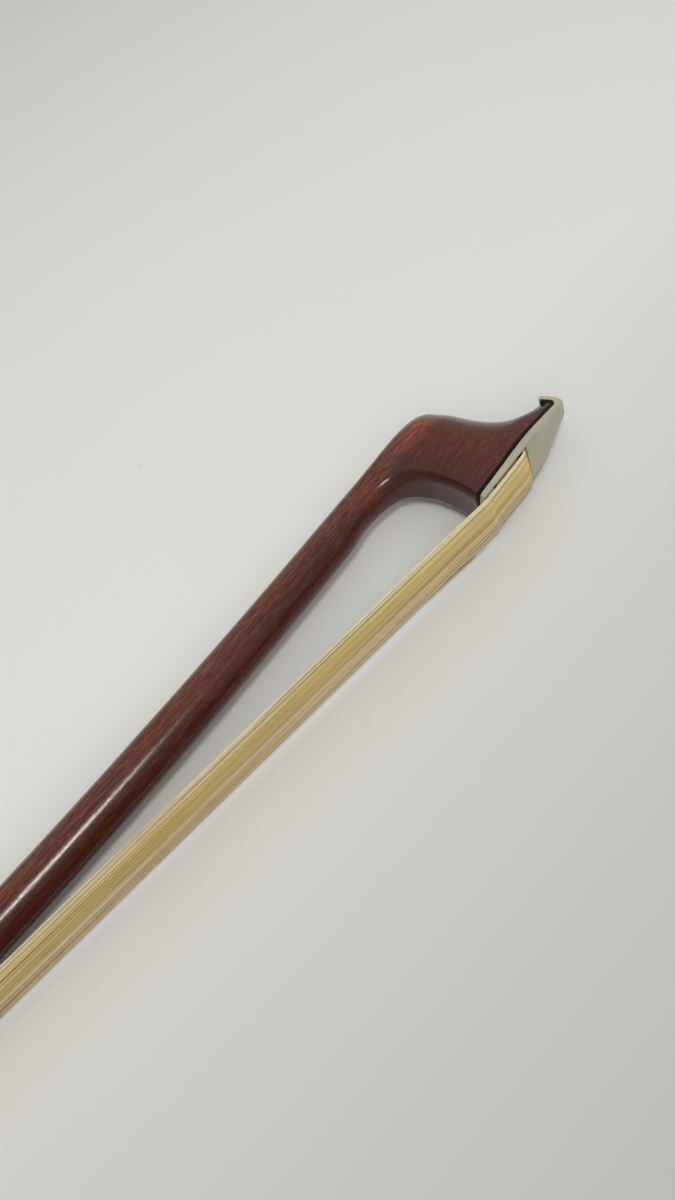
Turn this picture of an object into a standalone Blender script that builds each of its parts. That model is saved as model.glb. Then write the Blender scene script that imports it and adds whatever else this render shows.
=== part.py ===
"""Viola bow, lying on its side: +X to the tip, -Y the hair side, +Z up."""
import math

import bmesh
import bpy
import numpy as np
from mathutils import Vector

MM = 0.001

# Clearance left between two pieces that touch on the real bow
FIT = 0.3

# Lengths along the bow, in millimetres, from the end of the button
BUTTON_LENGTH = 13.7
NIPPLE_LENGTH = 1.8
FROG_REST_GAP = 8.5
FROG_LENGTH = 37.0
FERRULE_LENGTH = 12.7
HAIR_SPAN = 647.5
LEATHER_LENGTH = 24.0
WINDING_LENGTH = 65.6
SCREW_LENGTH = 91.4

# Travel of the frog from the slack rest pose, forward and back toward the button
FROG_FORWARD = 2.1
FROG_BACK = 7.0

# Stick
HANDLE_FLAT = 4.6
SHOULDER_R = 4.5
NECK_R = 3.98
HEAD_R = 3.70
NECK_LENGTH = 45.0
NIPPLE_R = 2.9
ROUND_FROM_X = 112.0
ROUND_BY_X = 135.0
CAMBER_START_X = 125.0
CAMBER_PULL_HANDLE = 225.0
STICK_OVER_HAIR = 1.0
RING_STEPS = 32

# Screw and the hollow that it runs in
SCREW_R = 1.6
SCREW_TIP_R = 1.3
THREAD_PITCH = 0.7
THREAD_DEPTH = 0.28
TANG_HALF = 0.95
TANG_START = 2.6

# Button
BUTTON_FLAT = 4.6
BUTTON_CORE_R = 3.0
END_RING_LENGTH = 4.2
FRONT_RING_LENGTH = 3.9
PEARL_DISC_T = 0.95

# Head, in its own axes: x along the face, y away from the hair
HEAD_TILT = math.radians(9.4)
HEAD_CENTRE = 21.0
HEAD_HALF_W = 5.2
FACE_LENGTH = 25.0
HEEL_LIP = 0.8
HEEL_BEVEL = 0.5
FACE_RISE = 1.3
NOSE_BEND_R = 1.35
NOSE_HOOK = 1.9
PLATE_T = 0.85
LINER_T = 0.6
HEAD_MORTISE_START = 3.2
HEAD_MORTISE_LENGTH = 9.0
HEAD_MORTISE_HALF_W = 4.0
HEAD_MORTISE_DEPTH = 8.3
HEAD_KNOT_HEIGHT = 2.6

# Grip
LEATHER_T = 1.0
LEATHER_GAP = 3.3
WINDING_T = 0.45

# Frog
FROG_BOTTOM = -23.5
FROG_LIP = 0.55
FROG_TIP_REACH = 3.1
UNDERSLIDE_T = 0.5
FROG_MORTISE_LENGTH = 12.0
FROG_MORTISE_HALF_W = 4.3
FROG_MORTISE_DEPTH = 11.0
FROG_KNOT_HEIGHT = 2.9
SLOT_HALF_W = 5.35
PEARL_T = 0.8
BACKING_T = 1.1
WEDGE_T = 2.2
WEDGE_LENGTH = 6.2
HEEL_PLATE_T = 0.6
HEEL_BACK_HEIGHT = 13.7
HEEL_UNDER_LENGTH = 7.5
PIN_R = 0.45
PIN_LENGTH = 4.0
LINING_PIN_LENGTH = 2.4

# Eyelet, from the frog's shoulder
EYELET_BACK = 11.5
EYELET_HALF_LENGTH = 2.4
EYELET_HALF_W = 2.6
STEM_R = 1.5
STEM_LENGTH = 9.3

# Ferrule
FERRULE_HALF_W = 6.5
FERRULE_HEIGHT = 9.5
FERRULE_WALL = 0.6

# Eye on each cheek
EYE_Y = -12.0
EYE_RING_R = 4.0
EYE_PEARL_R = 2.7
EYE_DEPTH = 0.9

# Hair
HAIR_T = 0.6
HAIR_HALF_W_FROG = 5.2
HAIR_HALF_W_HEAD = 4.75
HAIR_LOCKS = 12

# Places that follow from the sizes
BUTT_X = BUTTON_LENGTH + FIT
NIPPLE_X = BUTT_X - NIPPLE_LENGTH
FROG_BACK_X = BUTT_X + FROG_REST_GAP
SHOULDER_X = FROG_BACK_X + FROG_LENGTH
FERRULE_START = SHOULDER_X + FIT
FERRULE_END = FERRULE_START + FERRULE_LENGTH
PLATE_HEEL_X = FERRULE_END + HAIR_SPAN
EYELET_X = SHOULDER_X - EYELET_BACK
FROG_TIP_X = SHOULDER_X + FROG_TIP_REACH
TAPER_X = FROG_TIP_X + FROG_FORWARD + 1.0
LEATHER_X = FROG_TIP_X + FROG_FORWARD + LEATHER_GAP
WINDING_X = LEATHER_X + LEATHER_LENGTH + FIT
EYELET_REACH = (EYELET_X - EYELET_HALF_LENGTH - FROG_BACK, EYELET_X + EYELET_HALF_LENGTH + FROG_FORWARD)
THREAD_START = EYELET_REACH[0] - 1.5
THREAD_END = EYELET_REACH[1] + 1.5
SCREW_END = TANG_START + SCREW_LENGTH
BORE_R = SCREW_R + FIT
TIP_BORE_R = SCREW_TIP_R + FIT
CHANNEL_FLAT = HANDLE_FLAT + FIT + UNDERSLIDE_T + FIT
FROG_LAND = -(HANDLE_FLAT - 1.6)
FROG_TOP_HALF_W = CHANNEL_FLAT * math.sqrt(2) + FROG_LAND + FROG_LIP
HAIR_Y = FROG_BOTTOM + FERRULE_WALL + FIT + HAIR_T / 2
HEAD_Y = HAIR_Y + HAIR_T / 2 + FIT + PLATE_T
TONGUE_BOTTOM = HAIR_Y + HAIR_T / 2 + FIT + WEDGE_T + FIT
FERRULE_TOP = FROG_BOTTOM + FERRULE_HEIGHT
SLIDE_START = FROG_BACK_X + HEEL_UNDER_LENGTH + FIT * 2
BACKING_Y = FROG_BOTTOM + PEARL_T + FIT
SLOT_HAIR_Y = BACKING_Y + BACKING_T + FIT + HAIR_T / 2
SLOT_ROOF = SLOT_HAIR_Y + HAIR_T / 2 + FIT
FROG_MORTISE_START = SLIDE_START + 0.9
FROG_MORTISE_END = FROG_MORTISE_START + FROG_MORTISE_LENGTH
FROG_MORTISE_TOP = FROG_BOTTOM + FROG_MORTISE_DEPTH
EYE_AT = (EYELET_X, EYE_Y)
HEAD_MORTISE_END = HEAD_MORTISE_START + HEAD_MORTISE_LENGTH

for old in list(bpy.data.objects):
    bpy.data.objects.remove(old, do_unlink=True)

scene_root = bpy.context.scene.collection
bow_root = bpy.data.objects.new("bow_axis", None)
scene_root.objects.link(bow_root)
pieces = []


def material(name, colour, metallic, roughness):
    made = bpy.data.materials.new(name)
    made.use_nodes = True
    shader = made.node_tree.nodes["Principled BSDF"]
    shader.inputs["Base Color"].default_value = (*colour, 1.0)
    shader.inputs["Metallic"].default_value = metallic
    shader.inputs["Roughness"].default_value = roughness
    return made


# Colour, metallic value and roughness of each finish
WOOD = ((0.20, 0.055, 0.03), 0.0, 0.35)
EBONY = ((0.015, 0.013, 0.012), 0.0, 0.35)
BONE = ((0.80, 0.77, 0.62), 0.0, 0.35)
SILVER = ((0.82, 0.81, 0.79), 1.0, 0.25)
PEARL = ((0.80, 0.82, 0.80), 0.0, 0.25)
STEEL = ((0.55, 0.56, 0.58), 1.0, 0.3)
BRASS = ((0.72, 0.50, 0.20), 1.0, 0.3)
LEATHER = ((0.035, 0.022, 0.016), 0.0, 0.75)
HAIR = ((0.82, 0.70, 0.42), 0.0, 0.5)
PLUG = ((0.68, 0.48, 0.28), 0.0, 0.7)
BINDING = ((0.30, 0.07, 0.05), 0.0, 0.8)


def build_object(name, verts, faces):
    mesh = bpy.data.meshes.new(name)
    mesh.from_pydata([tuple(float(c) * MM for c in v) for v in verts], [], faces)
    bm = bmesh.new()
    bm.from_mesh(mesh)
    bmesh.ops.remove_doubles(bm, verts=bm.verts, dist=1e-7)
    bmesh.ops.recalc_face_normals(bm, faces=bm.faces)
    bm.to_mesh(mesh)
    bm.free()
    obj = bpy.data.objects.new(name, mesh)
    scene_root.objects.link(obj)
    obj.parent = bow_root
    return obj


def piece(name, shape, finish, smooth=30.0):
    obj = build_object(name, *shape)
    obj.data.materials.append(material(name + "_mat", *finish))
    obj.data.shade_smooth()
    obj.data.set_sharp_from_angle(angle=math.radians(smooth))
    pieces.append(obj)
    return obj


def boolean(target, name, shape, operation="DIFFERENCE"):
    cutter = build_object("cut_" + name, *shape)
    cutter.hide_render = True
    cutter.display_type = "WIRE"
    step = target.modifiers.new(name, "BOOLEAN")
    step.object = cutter
    step.operation = operation
    step.solver = "EXACT"


def join(*shapes):
    verts = []
    faces = []
    for more_verts, more_faces in shapes:
        shift = len(verts)
        verts.extend(more_verts)
        faces.extend(tuple(i + shift for i in face) for face in more_faces)
    return verts, faces


def loft(rings):
    """Closed body through rings of equal length, with plain end faces."""
    n = len(rings[0])
    verts = [p for ring in rings for p in ring]
    faces = [tuple(range(n)), tuple(range(len(verts) - n, len(verts)))]
    for r in range(len(rings) - 1):
        for k in range(n):
            a = r * n + k
            b = r * n + (k + 1) % n
            faces.append((a, b, b + n, a + n))
    return verts, faces


def tube(outer, inner):
    """Closed hollow body between an outer and an inner list of rings."""
    n = len(outer[0])
    rings = list(outer) + list(reversed(inner))
    verts = [p for ring in rings for p in ring]
    faces = []
    for r in range(len(rings)):
        nxt = (r + 1) % len(rings)
        for k in range(n):
            m = (k + 1) % n
            faces.append((r * n + k, r * n + m, nxt * n + m, nxt * n + k))
    return verts, faces


def along_x(outline, x0, x1):
    """Prism of a (y, z) outline."""
    return loft([[(x, y, z) for y, z in outline] for x in (x0, x1)])


def along_z(outline, half_w):
    """Prism of an (x, y) outline, as far each way from the middle plane."""
    return loft([[(x, y, z) for x, y in outline] for z in (-half_w, half_w)])


def box(x0, x1, y0, y1, half_w):
    return along_z([(x0, y0), (x1, y0), (x1, y1), (x0, y1)], half_w)


def circle(r, steps, turn0=0.0):
    turns = [turn0 + 2 * math.pi * k / steps for k in range(steps)]
    return [(r * math.cos(a), r * math.sin(a)) for a in turns]


def circle_x(x, r, steps=24):
    return [(x, a, b) for a, b in circle(r, steps)]


def rod(centre, axis, r, a0, a1, steps=16):
    """Cylinder along axis 0, 1 or 2 through a centre point, from a0 to a1."""
    others = [i for i in range(3) if i != axis]
    rings = []
    for end in (a0, a1):
        ring = []
        for a, b in circle(r, steps):
            p = list(centre)
            p[axis] = end
            p[others[0]] += a
            p[others[1]] += b
            ring.append(tuple(p))
        rings.append(ring)
    return loft(rings)


# Cross-section of the stick, eight-sided at the handle and round beyond it

def ring_at(x, y, slope, flat, roundness):
    """Ring square to the stick axis; turn 0 points at the back of the stick."""
    size = math.hypot(1.0, slope)
    up = (-slope / size, 1.0 / size)
    ring = []
    for k in range(RING_STEPS):
        turn = 2 * math.pi * k / RING_STEPS
        eight_sided = flat / math.cos((turn + math.pi / 8) % (math.pi / 4) - math.pi / 8)
        r = eight_sided * (1 - roundness) + flat * roundness
        c = r * math.cos(turn)
        ring.append((x + up[0] * c, y + up[1] * c, r * math.sin(turn)))
    return ring


def oct_ring(x, flat):
    return ring_at(x, 0.0, 0.0, flat, 0.0)


def head_to_bow(x, y):
    c = math.cos(HEAD_TILT)
    s = math.sin(HEAD_TILT)
    return PLATE_HEEL_X + x * c - y * s, HEAD_Y + x * s + y * c


def head_shape(shape):
    verts, faces = shape
    return [(*head_to_bow(x, y), z) for x, y, z in verts], faces


HEAD_JOIN = head_to_bow(-16.0, HEAD_CENTRE)
HEAD_SLOPE = math.tan(HEAD_TILT)
CAMBER_LOW = HAIR_Y + HAIR_T / 2 + STICK_OVER_HAIR + (SHOULDER_R + NECK_R) / 2


def camber_pull():
    """Pull of the head on the bent axis that brings its lowest point to CAMBER_LOW."""
    y = CAMBER_LOW * 2
    for _ in range(30):
        y = CAMBER_LOW * ((3 * y - HEAD_JOIN[1]) / (2 * y)) ** 2
    return (HEAD_JOIN[1] - y) / HEAD_SLOPE


CAMBER = np.array([
    (CAMBER_START_X, 0.0),
    (CAMBER_START_X + CAMBER_PULL_HANDLE, 0.0),
    (HEAD_JOIN[0] - camber_pull(), HEAD_JOIN[1] - camber_pull() * HEAD_SLOPE),
    HEAD_JOIN,
])


def camber_point(t):
    """Point and slope on the bent axis of the stick."""
    s = 1 - t
    p = CAMBER[0] * s ** 3 + CAMBER[1] * 3 * s * s * t + CAMBER[2] * 3 * s * t * t + CAMBER[3] * t ** 3
    d = (CAMBER[1] - CAMBER[0]) * s * s + (CAMBER[2] - CAMBER[1]) * 2 * s * t
    d = d + (CAMBER[3] - CAMBER[2]) * t * t
    return p[0], p[1], d[1] / d[0]


def axis_point(x):
    """Height and slope of the stick axis at a distance along the bow."""
    if x <= CAMBER_START_X:
        return 0.0, 0.0
    low = 0.0
    high = 1.0
    for _ in range(40):
        mid = (low + high) / 2
        if camber_point(mid)[0] < x:
            low = mid
        else:
            high = mid
    return camber_point(low)[1:]


def stick_ring(x, extra=0.0):
    stops = (TAPER_X, ROUND_BY_X, HEAD_JOIN[0] - NECK_LENGTH, HEAD_JOIN[0])
    flat = float(np.interp(x, stops, (HANDLE_FLAT, SHOULDER_R, NECK_R, HEAD_R)))
    roundness = float(np.clip((x - ROUND_FROM_X) / (ROUND_BY_X - ROUND_FROM_X), 0.0, 1.0))
    return ring_at(x, *axis_point(x), flat + extra, roundness)


# Face of the head: a shallow rise, a tight bend at the nose and a short hook
def face_path(offset):
    """Points, share of the length and slope along the plate's inner face, moved toward the wood."""
    bend_x = FACE_LENGTH - NOSE_BEND_R - 0.35
    start = math.atan(2 * FACE_RISE * bend_x / FACE_LENGTH ** 2)
    end = math.radians(102.0)
    bend_y = FACE_RISE * (bend_x / FACE_LENGTH) ** 2
    centre = (bend_x - NOSE_BEND_R * math.sin(start), bend_y + NOSE_BEND_R * math.cos(start))
    points = []
    for k in range(-1, 7):
        x = -HEEL_LIP if k < 0 else HEEL_BEVEL + (bend_x - HEEL_BEVEL) * k / 7
        points.append((x, FACE_RISE * (x / FACE_LENGTH) ** 2, math.atan(2 * FACE_RISE * x / FACE_LENGTH ** 2)))
    for k in range(5):
        a = start + (end - start) * k / 4
        points.append((centre[0] + NOSE_BEND_R * math.sin(a), centre[1] - NOSE_BEND_R * math.cos(a), a))
    x, y, a = points[-1]
    points.append((x + NOSE_HOOK * math.cos(a), y + NOSE_HOOK * math.sin(a), a))
    return [(x - offset * math.sin(a), y + offset * math.cos(a)) for x, y, a in points]


FACE_SPREAD = (0.69, 1.0, 1.0, 1.0, 0.99, 0.94, 0.82, 0.64, 0.47, 0.41, 0.37, 0.34, 0.32, 0.27)
PLATE_TAPER = (1.0, 1.0, 1.08, 1.18, 1.30, 1.43, 1.54, 1.49, 1.33, 1.48, 2.14, 1.40, 1.21, 1.40)


def face_strip(inside, outside):
    rings = []
    for (xi, yi), (xo, yo), spread in zip(inside, outside, FACE_SPREAD):
        w = HEAD_HALF_W * spread
        rings.append([(xi, yi, -w), (xi, yi, w), (xo, yo, w), (xo, yo, -w)])
    return head_shape(loft(rings))


# Head sections fan from the round stick down to the face. Each holds the throat
# point, the ridge point, how far it has left the circle, how far its width has
# gone from the stick's to the face's, the ridge's half-width and its hollow
HEAD_SECTIONS = (
    ((-12.0, 17.85), (-11.5, 24.50), 0.0, 0.0, 0.60, 0.0),
    ((-8.6, 17.62), (-6.5, 24.50), 0.10, 0.01, 0.60, 0.0),
    ((-6.4, 17.22), (-1.5, 24.56), 0.25, 0.05, 0.62, 0.0),
    ((-4.5, 16.85), (3.2, 24.66), 0.45, 0.14, 0.65, 0.0),
    ((-3.0, 16.20), (7.3, 24.64), 0.65, 0.24, 0.70, 0.0),
    ((-1.95, 15.20), (10.3, 24.30), 0.80, 0.35, 0.70, 0.0),
    ((-1.2, 14.05), (12.4, 23.66), 0.90, 0.43, 0.70, 0.0),
    ((-0.55, 12.70), (13.7, 22.50), 0.96, 0.50, 0.68, 0.0),
    ((-0.1, 11.30), (14.55, 20.50), 1.0, 0.59, 0.62, 0.0),
    ((0.1, 9.60), (15.3, 18.10), 1.0, 0.67, 0.60, 0.0),
    ((0.17, 7.90), (15.75, 15.40), 1.0, 0.75, 0.58, 0.0),
    ((0.15, 6.30), (16.3, 12.50), 1.0, 0.83, 0.58, 0.0),
    ((0.02, 4.80), (17.25, 9.60), 1.0, 0.90, 0.60, 0.1),
    ((-0.18, 3.40), (18.9, 6.90), 1.0, 0.95, 0.66, 0.22),
    ((-0.38, 2.20), (21.6, 4.60), 1.0, 0.98, 0.90, 0.34),
)


def head_point(point, leave):
    """Section point for this face length, head height and stick thickness."""
    drawn_centre = 21.0
    on_stick = HEAD_CENTRE + (point[1] - drawn_centre) * HEAD_R / 3.7
    on_face = point[1] * HEAD_CENTRE / drawn_centre
    return point[0] * FACE_LENGTH / 25.0, on_stick + (on_face - on_stick) * leave


def head_ring(throat, ridge, leave, widen, ridge_w, hollow):
    half = RING_STEPS // 2
    half_w = HEAD_R + (HEAD_HALF_W - HEAD_R) * widen
    side = []
    length = math.hypot(ridge[0] - throat[0], ridge[1] - throat[1])
    ex = (ridge[0] - throat[0]) / length
    ey = (ridge[1] - throat[1]) / length
    for k in range(half + 1):
        turn = math.pi * k / half
        u_round = (1 + math.cos(turn)) / 2
        w_round = half_w * math.sin(turn)
        if k == 0:
            u, w = 1.0, 0.0
        elif k == 1:
            u, w = 1.0, ridge_w
        elif k == half:
            u, w = 0.0, 0.0
        elif k == half - 1:
            u, w = 0.0, 0.68 * half_w
        else:
            u = 0.985 - (k - 2) * (0.985 - 1.3 / length) / (half - 4)
            w = half_w - (half_w - ridge_w) * u ** 3.2
        u = u_round + (u - u_round) * leave
        w = w_round + (w - w_round) * leave
        dip = hollow * 4 * u * (1 - u)
        side.append((throat[0] + ex * length * u + ey * dip, throat[1] + ey * length * u - ex * dip, w))
    return side + [(x, y, -w) for x, y, w in reversed(side[1:-1])]


def stick_body():
    rings = [circle_x(x, NIPPLE_R, RING_STEPS) for x in (NIPPLE_X, BUTT_X)]
    rings += [stick_ring(x) for x in (BUTT_X, TAPER_X)]
    rings += [stick_ring(x) for x in np.linspace(ROUND_FROM_X, ROUND_BY_X, 5)]
    spans = int((HEAD_JOIN[0] - ROUND_BY_X) / 22.0)
    rings += [stick_ring(x) for x in np.linspace(ROUND_BY_X, HEAD_JOIN[0] - 0.01, spans + 1)[1:]]
    for throat, ridge, leave, *rest in HEAD_SECTIONS:
        ring = head_ring(head_point(throat, leave), head_point(ridge, leave), leave, *rest)
        rings.append([(*head_to_bow(px, py), pz) for px, py, pz in ring])
    seat = FIT + LINER_T + FIT
    reach = 0.912 * FACE_LENGTH
    foot = head_ring((-HEEL_LIP, seat), (reach, seat + FACE_RISE * 0.912 ** 2 + 0.15), 1.0, 1.0, 1.4, FACE_RISE * 0.225)
    rings.append([(*head_to_bow(px, py), pz) for px, py, pz in foot])
    verts, faces = loft(rings)
    base = len(verts) - RING_STEPS
    del faces[1]
    half = RING_STEPS // 2
    for middle in (0, half):
        faces.append(tuple(base + (middle + k) % RING_STEPS for k in (-2, -1, 0, 1, 2)))
    for k in range(2, half - 2):
        faces.append((base + k, base + k + 1, base + RING_STEPS - k - 1, base + RING_STEPS - k))
    return verts, faces


stick = piece("stick", stick_body(), WOOD, 40.0)
boolean(stick, "screw_bore", loft([
    circle_x(NIPPLE_X - 1.0, BORE_R), circle_x(THREAD_END + 2.0, BORE_R),
    circle_x(THREAD_END + 2.0, TIP_BORE_R), circle_x(SCREW_END + 1.0, TIP_BORE_R)]))
eyelet_top = BORE_R + 0.85
boolean(stick, "eyelet_mortise", box(
    EYELET_REACH[0] - 1.0, EYELET_REACH[1] + 1.0, -HANDLE_FLAT - 1.4, eyelet_top + FIT, EYELET_HALF_W + FIT))
boolean(stick, "head_mortise", head_shape(box(
    HEAD_MORTISE_START, HEAD_MORTISE_END, -2.0, HEAD_MORTISE_DEPTH, HEAD_MORTISE_HALF_W)))

head_liner = piece("head_liner", face_strip(face_path(FIT + LINER_T), face_path(FIT)), EBONY)
plate_outside = [face_path(-PLATE_T * taper)[k] for k, taper in enumerate(PLATE_TAPER)]
head_plate = piece("head_plate", face_strip(face_path(0.0), plate_outside), BONE)
for target in (head_liner, head_plate):
    boolean(target, target.name + "_mortise", head_shape(box(
        HEAD_MORTISE_START - 0.2, HEAD_MORTISE_END + 0.6, -3.0, 3.0, HEAD_MORTISE_HALF_W + 0.3)))


def knot(x0, x1, y0, y1, half_w):
    """Bound end of the hair: a flat bundle with rounded edges."""
    centre = ((x0 + x1) / 2, (y0 + y1) / 2)
    rings = []
    for z, shrink in ((-half_w, 0.5), (0.6 - half_w, 0.12), (0.0, 0.0), (half_w - 0.6, 0.12), (half_w, 0.5)):
        rx = (x1 - x0) / 2 * (1 - shrink * 0.4)
        ry = (y1 - y0) / 2 * (1 - shrink)
        ring = []
        for c, s in circle(1.0, 16):
            flat_c = math.copysign(abs(c) ** 0.6, c)
            flat_s = math.copysign(abs(s) ** 0.6, s)
            ring.append((centre[0] + rx * flat_c, centre[1] + ry * flat_s, z))
        rings.append(ring)
    return loft(rings)


head_w = HEAD_MORTISE_HALF_W - FIT
head_hair_x = HEAD_MORTISE_END - FIT - HAIR_T / 2
head_plug_x = (HEAD_MORTISE_START + FIT, head_hair_x - HAIR_T / 2 - FIT - 0.15)
head_plug_y = (0.25 - PLATE_T, HEAD_MORTISE_DEPTH - 0.4 - HEAD_KNOT_HEIGHT - FIT)
piece("head_plug", head_shape(along_z([
    (head_plug_x[0], head_plug_y[0]), (head_plug_x[1] - 1.3, head_plug_y[0]),
    (head_plug_x[1] - 0.4, head_plug_y[0] + 0.65), (head_plug_x[1], head_plug_y[0] + 1.65),
    (head_plug_x[1], head_plug_y[1]), (head_plug_x[0], head_plug_y[1])], head_w)), PLUG)
head_knot_y = head_plug_y[1] + FIT
piece("head_hair_knot", head_shape(knot(
    HEAD_MORTISE_START + FIT, HEAD_MORTISE_END - FIT, head_knot_y, head_knot_y + HEAD_KNOT_HEIGHT, head_w)),
    BINDING, 50.0)


# Grip: leather next to the frog, then the metal winding
def sleeve(x0, x1, thickness, step, lip):
    stops = list(np.linspace(x0, x1, max(2, int(round((x1 - x0) / step)) + 1)))
    outer = [stick_ring(x, FIT + thickness) for x in stops]
    outer[0] = stick_ring(stops[0], FIT + thickness - lip)
    outer[-1] = stick_ring(stops[-1], FIT + thickness - lip)
    outer.insert(1, stick_ring(stops[0] + lip, FIT + thickness))
    outer.insert(-1, stick_ring(stops[-1] - lip, FIT + thickness))
    return tube(outer, [stick_ring(x, FIT) for x in stops])


piece("thumb_leather", sleeve(LEATHER_X, LEATHER_X + LEATHER_LENGTH, LEATHER_T, 12.0, LEATHER_T / 3), LEATHER)
piece("winding", sleeve(WINDING_X, WINDING_X + WINDING_LENGTH, WINDING_T, 6.0, WINDING_T / 3), SILVER)


# Screw and button turn together
def screw_body():
    steps = 12
    rings = []
    for x in (TANG_START, NIPPLE_X - FIT * 2):
        ring = []
        for c, s in circle(1.0, steps):
            r = TANG_HALF / max(abs(c), abs(s))
            ring.append((x, r * c, r * s))
        rings.append(ring)
    rings.append(circle_x(NIPPLE_X, SCREW_R, steps))
    rings.append(circle_x(THREAD_START - 0.4, SCREW_R, steps))
    count = int(round((THREAD_END - THREAD_START) / THREAD_PITCH * 4))
    for i in range(count + 1):
        x = THREAD_START + i * THREAD_PITCH / 4
        ring = []
        for k, (c, s) in enumerate(circle(1.0, steps)):
            phase = (x / THREAD_PITCH - k / steps) % 1.0
            r = SCREW_R - THREAD_DEPTH * (1 - abs(2 * phase - 1))
            ring.append((x, r * c, r * s))
        rings.append(ring)
    rings.append(circle_x(THREAD_END + 0.7, SCREW_TIP_R, steps))
    rings.append(circle_x(SCREW_END - 1.2, SCREW_TIP_R, steps))
    rings.append(circle_x(SCREW_END, SCREW_TIP_R * 0.45, steps))
    return loft(rings)


piece("screw", screw_body(), STEEL)

core_start = PEARL_DISC_T + 0.15 + FIT
core_end = NIPPLE_X - FIT
middle_start = END_RING_LENGTH + FIT
middle_end = BUTTON_LENGTH - FRONT_RING_LENGTH - FIT
ring_bore_r = BUTTON_CORE_R + FIT


def button_body():
    outer = [
        circle_x(core_start, BUTTON_CORE_R, RING_STEPS), circle_x(middle_start, BUTTON_CORE_R, RING_STEPS),
        oct_ring(middle_start, BUTTON_FLAT - 0.35), oct_ring(middle_start + 0.4, BUTTON_FLAT - 0.1),
        oct_ring(middle_end - 0.4, BUTTON_FLAT), oct_ring(middle_end, BUTTON_FLAT - 0.25),
        circle_x(middle_end, BUTTON_CORE_R, RING_STEPS), circle_x(core_end, BUTTON_CORE_R, RING_STEPS)]
    bore_r = math.hypot(TANG_HALF, TANG_HALF) + FIT
    return tube(outer, [circle_x(x, bore_r, RING_STEPS) for x in (core_start, core_end)])


def button_ring(stops):
    outer = [oct_ring(x, flat) for x, flat in stops]
    return tube(outer, [circle_x(x, ring_bore_r, RING_STEPS) for x in (stops[0][0], stops[-1][0])])


front_start = BUTTON_LENGTH - FRONT_RING_LENGTH
piece("button", button_body(), EBONY)
piece("button_front_ring", button_ring((
    (front_start, BUTTON_FLAT - 0.3), (front_start + 0.3, BUTTON_FLAT),
    (BUTTON_LENGTH - 0.4, BUTTON_FLAT), (BUTTON_LENGTH, BUTTON_FLAT - 0.2))), SILVER)
piece("button_end_ring", button_ring((
    (0.0, BUTTON_FLAT - 0.6), (0.5, BUTTON_FLAT - 0.2),
    (END_RING_LENGTH - 0.3, BUTTON_FLAT - 0.1), (END_RING_LENGTH, BUTTON_FLAT - 0.35))), SILVER)
piece("button_pearl", loft([
    circle_x(0.15, BUTTON_CORE_R - 0.15, RING_STEPS), circle_x(0.3, BUTTON_CORE_R, RING_STEPS),
    circle_x(0.15 + PEARL_DISC_T, BUTTON_CORE_R, RING_STEPS)]), PEARL)


# Frog, seen from the side as (x, y)
def frog_profile():
    heel = FROG_BACK_X + HEEL_PLATE_T + FIT
    floor = FROG_BOTTOM + HEEL_PLATE_T + FIT
    heel_top = FROG_BOTTOM + HEEL_BACK_HEIGHT + FIT
    slide_wall = SLIDE_START - FIT
    outline = [(FROG_BACK_X, FROG_LAND + 0.2), (FROG_TIP_X - 1.0, FROG_LAND + 0.2),
               (FROG_TIP_X, FROG_LAND - 1.6), (FROG_TIP_X - 0.1, -CHANNEL_FLAT - 0.2)]
    throat = (SHOULDER_X + 0.4, (FERRULE_TOP - CHANNEL_FLAT - 1.5) / 2, (-CHANNEL_FLAT - 1.0 - FERRULE_TOP) / 2)
    for k in range(9):
        turn = math.radians(62 + k * 22)
        outline.append((throat[0] + 4.4 * math.cos(turn), throat[1] + throat[2] * math.sin(turn)))
    outline += [(SHOULDER_X, FERRULE_TOP - 0.5), (SHOULDER_X, FROG_BOTTOM), (slide_wall, FROG_BOTTOM),
                (slide_wall, floor), (heel, floor), (heel, heel_top), (FROG_BACK_X, heel_top + 0.3)]
    return outline


def frog_half_width(y):
    stops = (FROG_BOTTOM, FROG_BOTTOM + 2.5, FROG_BOTTOM + 7.5, FROG_LAND - 6.0, FROG_LAND + 1.0)
    wide = FERRULE_HALF_W - 0.2
    return float(np.interp(y, stops, (wide - 0.05, wide, wide - 0.35, FROG_TOP_HALF_W + 0.02, FROG_TOP_HALF_W)))


def cheek_outline(y0, y1, inset=0.0):
    heights = [y0 + (y1 - y0) * k / 8 for k in range(9)]
    right = [(y, frog_half_width(y) - inset) for y in heights]
    return right + [(y, -z) for y, z in reversed(right)]


def d_outline(inset):
    """Ferrule outline: flat on the hair side, arched toward the stick."""
    half_w = FERRULE_HALF_W - inset
    flat = FROG_BOTTOM + inset
    rise = FERRULE_TOP - inset - TONGUE_BOTTOM
    outline = [(flat, -half_w + 0.5), (flat, half_w - 0.5), (flat + 0.5, half_w)]
    for k in range(13):
        turn = math.pi * k / 12
        outline.append((TONGUE_BOTTOM + rise * math.sin(turn), half_w * math.cos(turn)))
    return outline + [(flat + 0.5, -half_w)]


def channel_half(flat):
    """Lower three flats of the handle, from the land round to the land."""
    reach = flat * math.sqrt(2) + FROG_LAND
    corner = flat * (math.sqrt(2) - 1)
    return [(FROG_LAND, -reach), (-flat, -corner), (-flat, corner), (FROG_LAND, reach)]


def heel_pin_shapes(extra, proud):
    """Two pins driven forward through the back plate and two up through the under plate."""
    deep = PIN_LENGTH + extra
    pins = []
    for share in (0.3, 0.8):
        y = FROG_BOTTOM + HEEL_BACK_HEIGHT * share
        pins.append(rod((0.0, y, 0.0), 0, PIN_R + extra, FROG_BACK_X - proud, FROG_BACK_X + deep, 12))
    for z in (-3.4, 3.4):
        x = FROG_BACK_X + HEEL_UNDER_LENGTH * 0.6
        pins.append(rod((x, 0.0, z), 1, PIN_R + extra, FROG_BOTTOM - proud, FROG_BOTTOM + deep, 12))
    return pins


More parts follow.
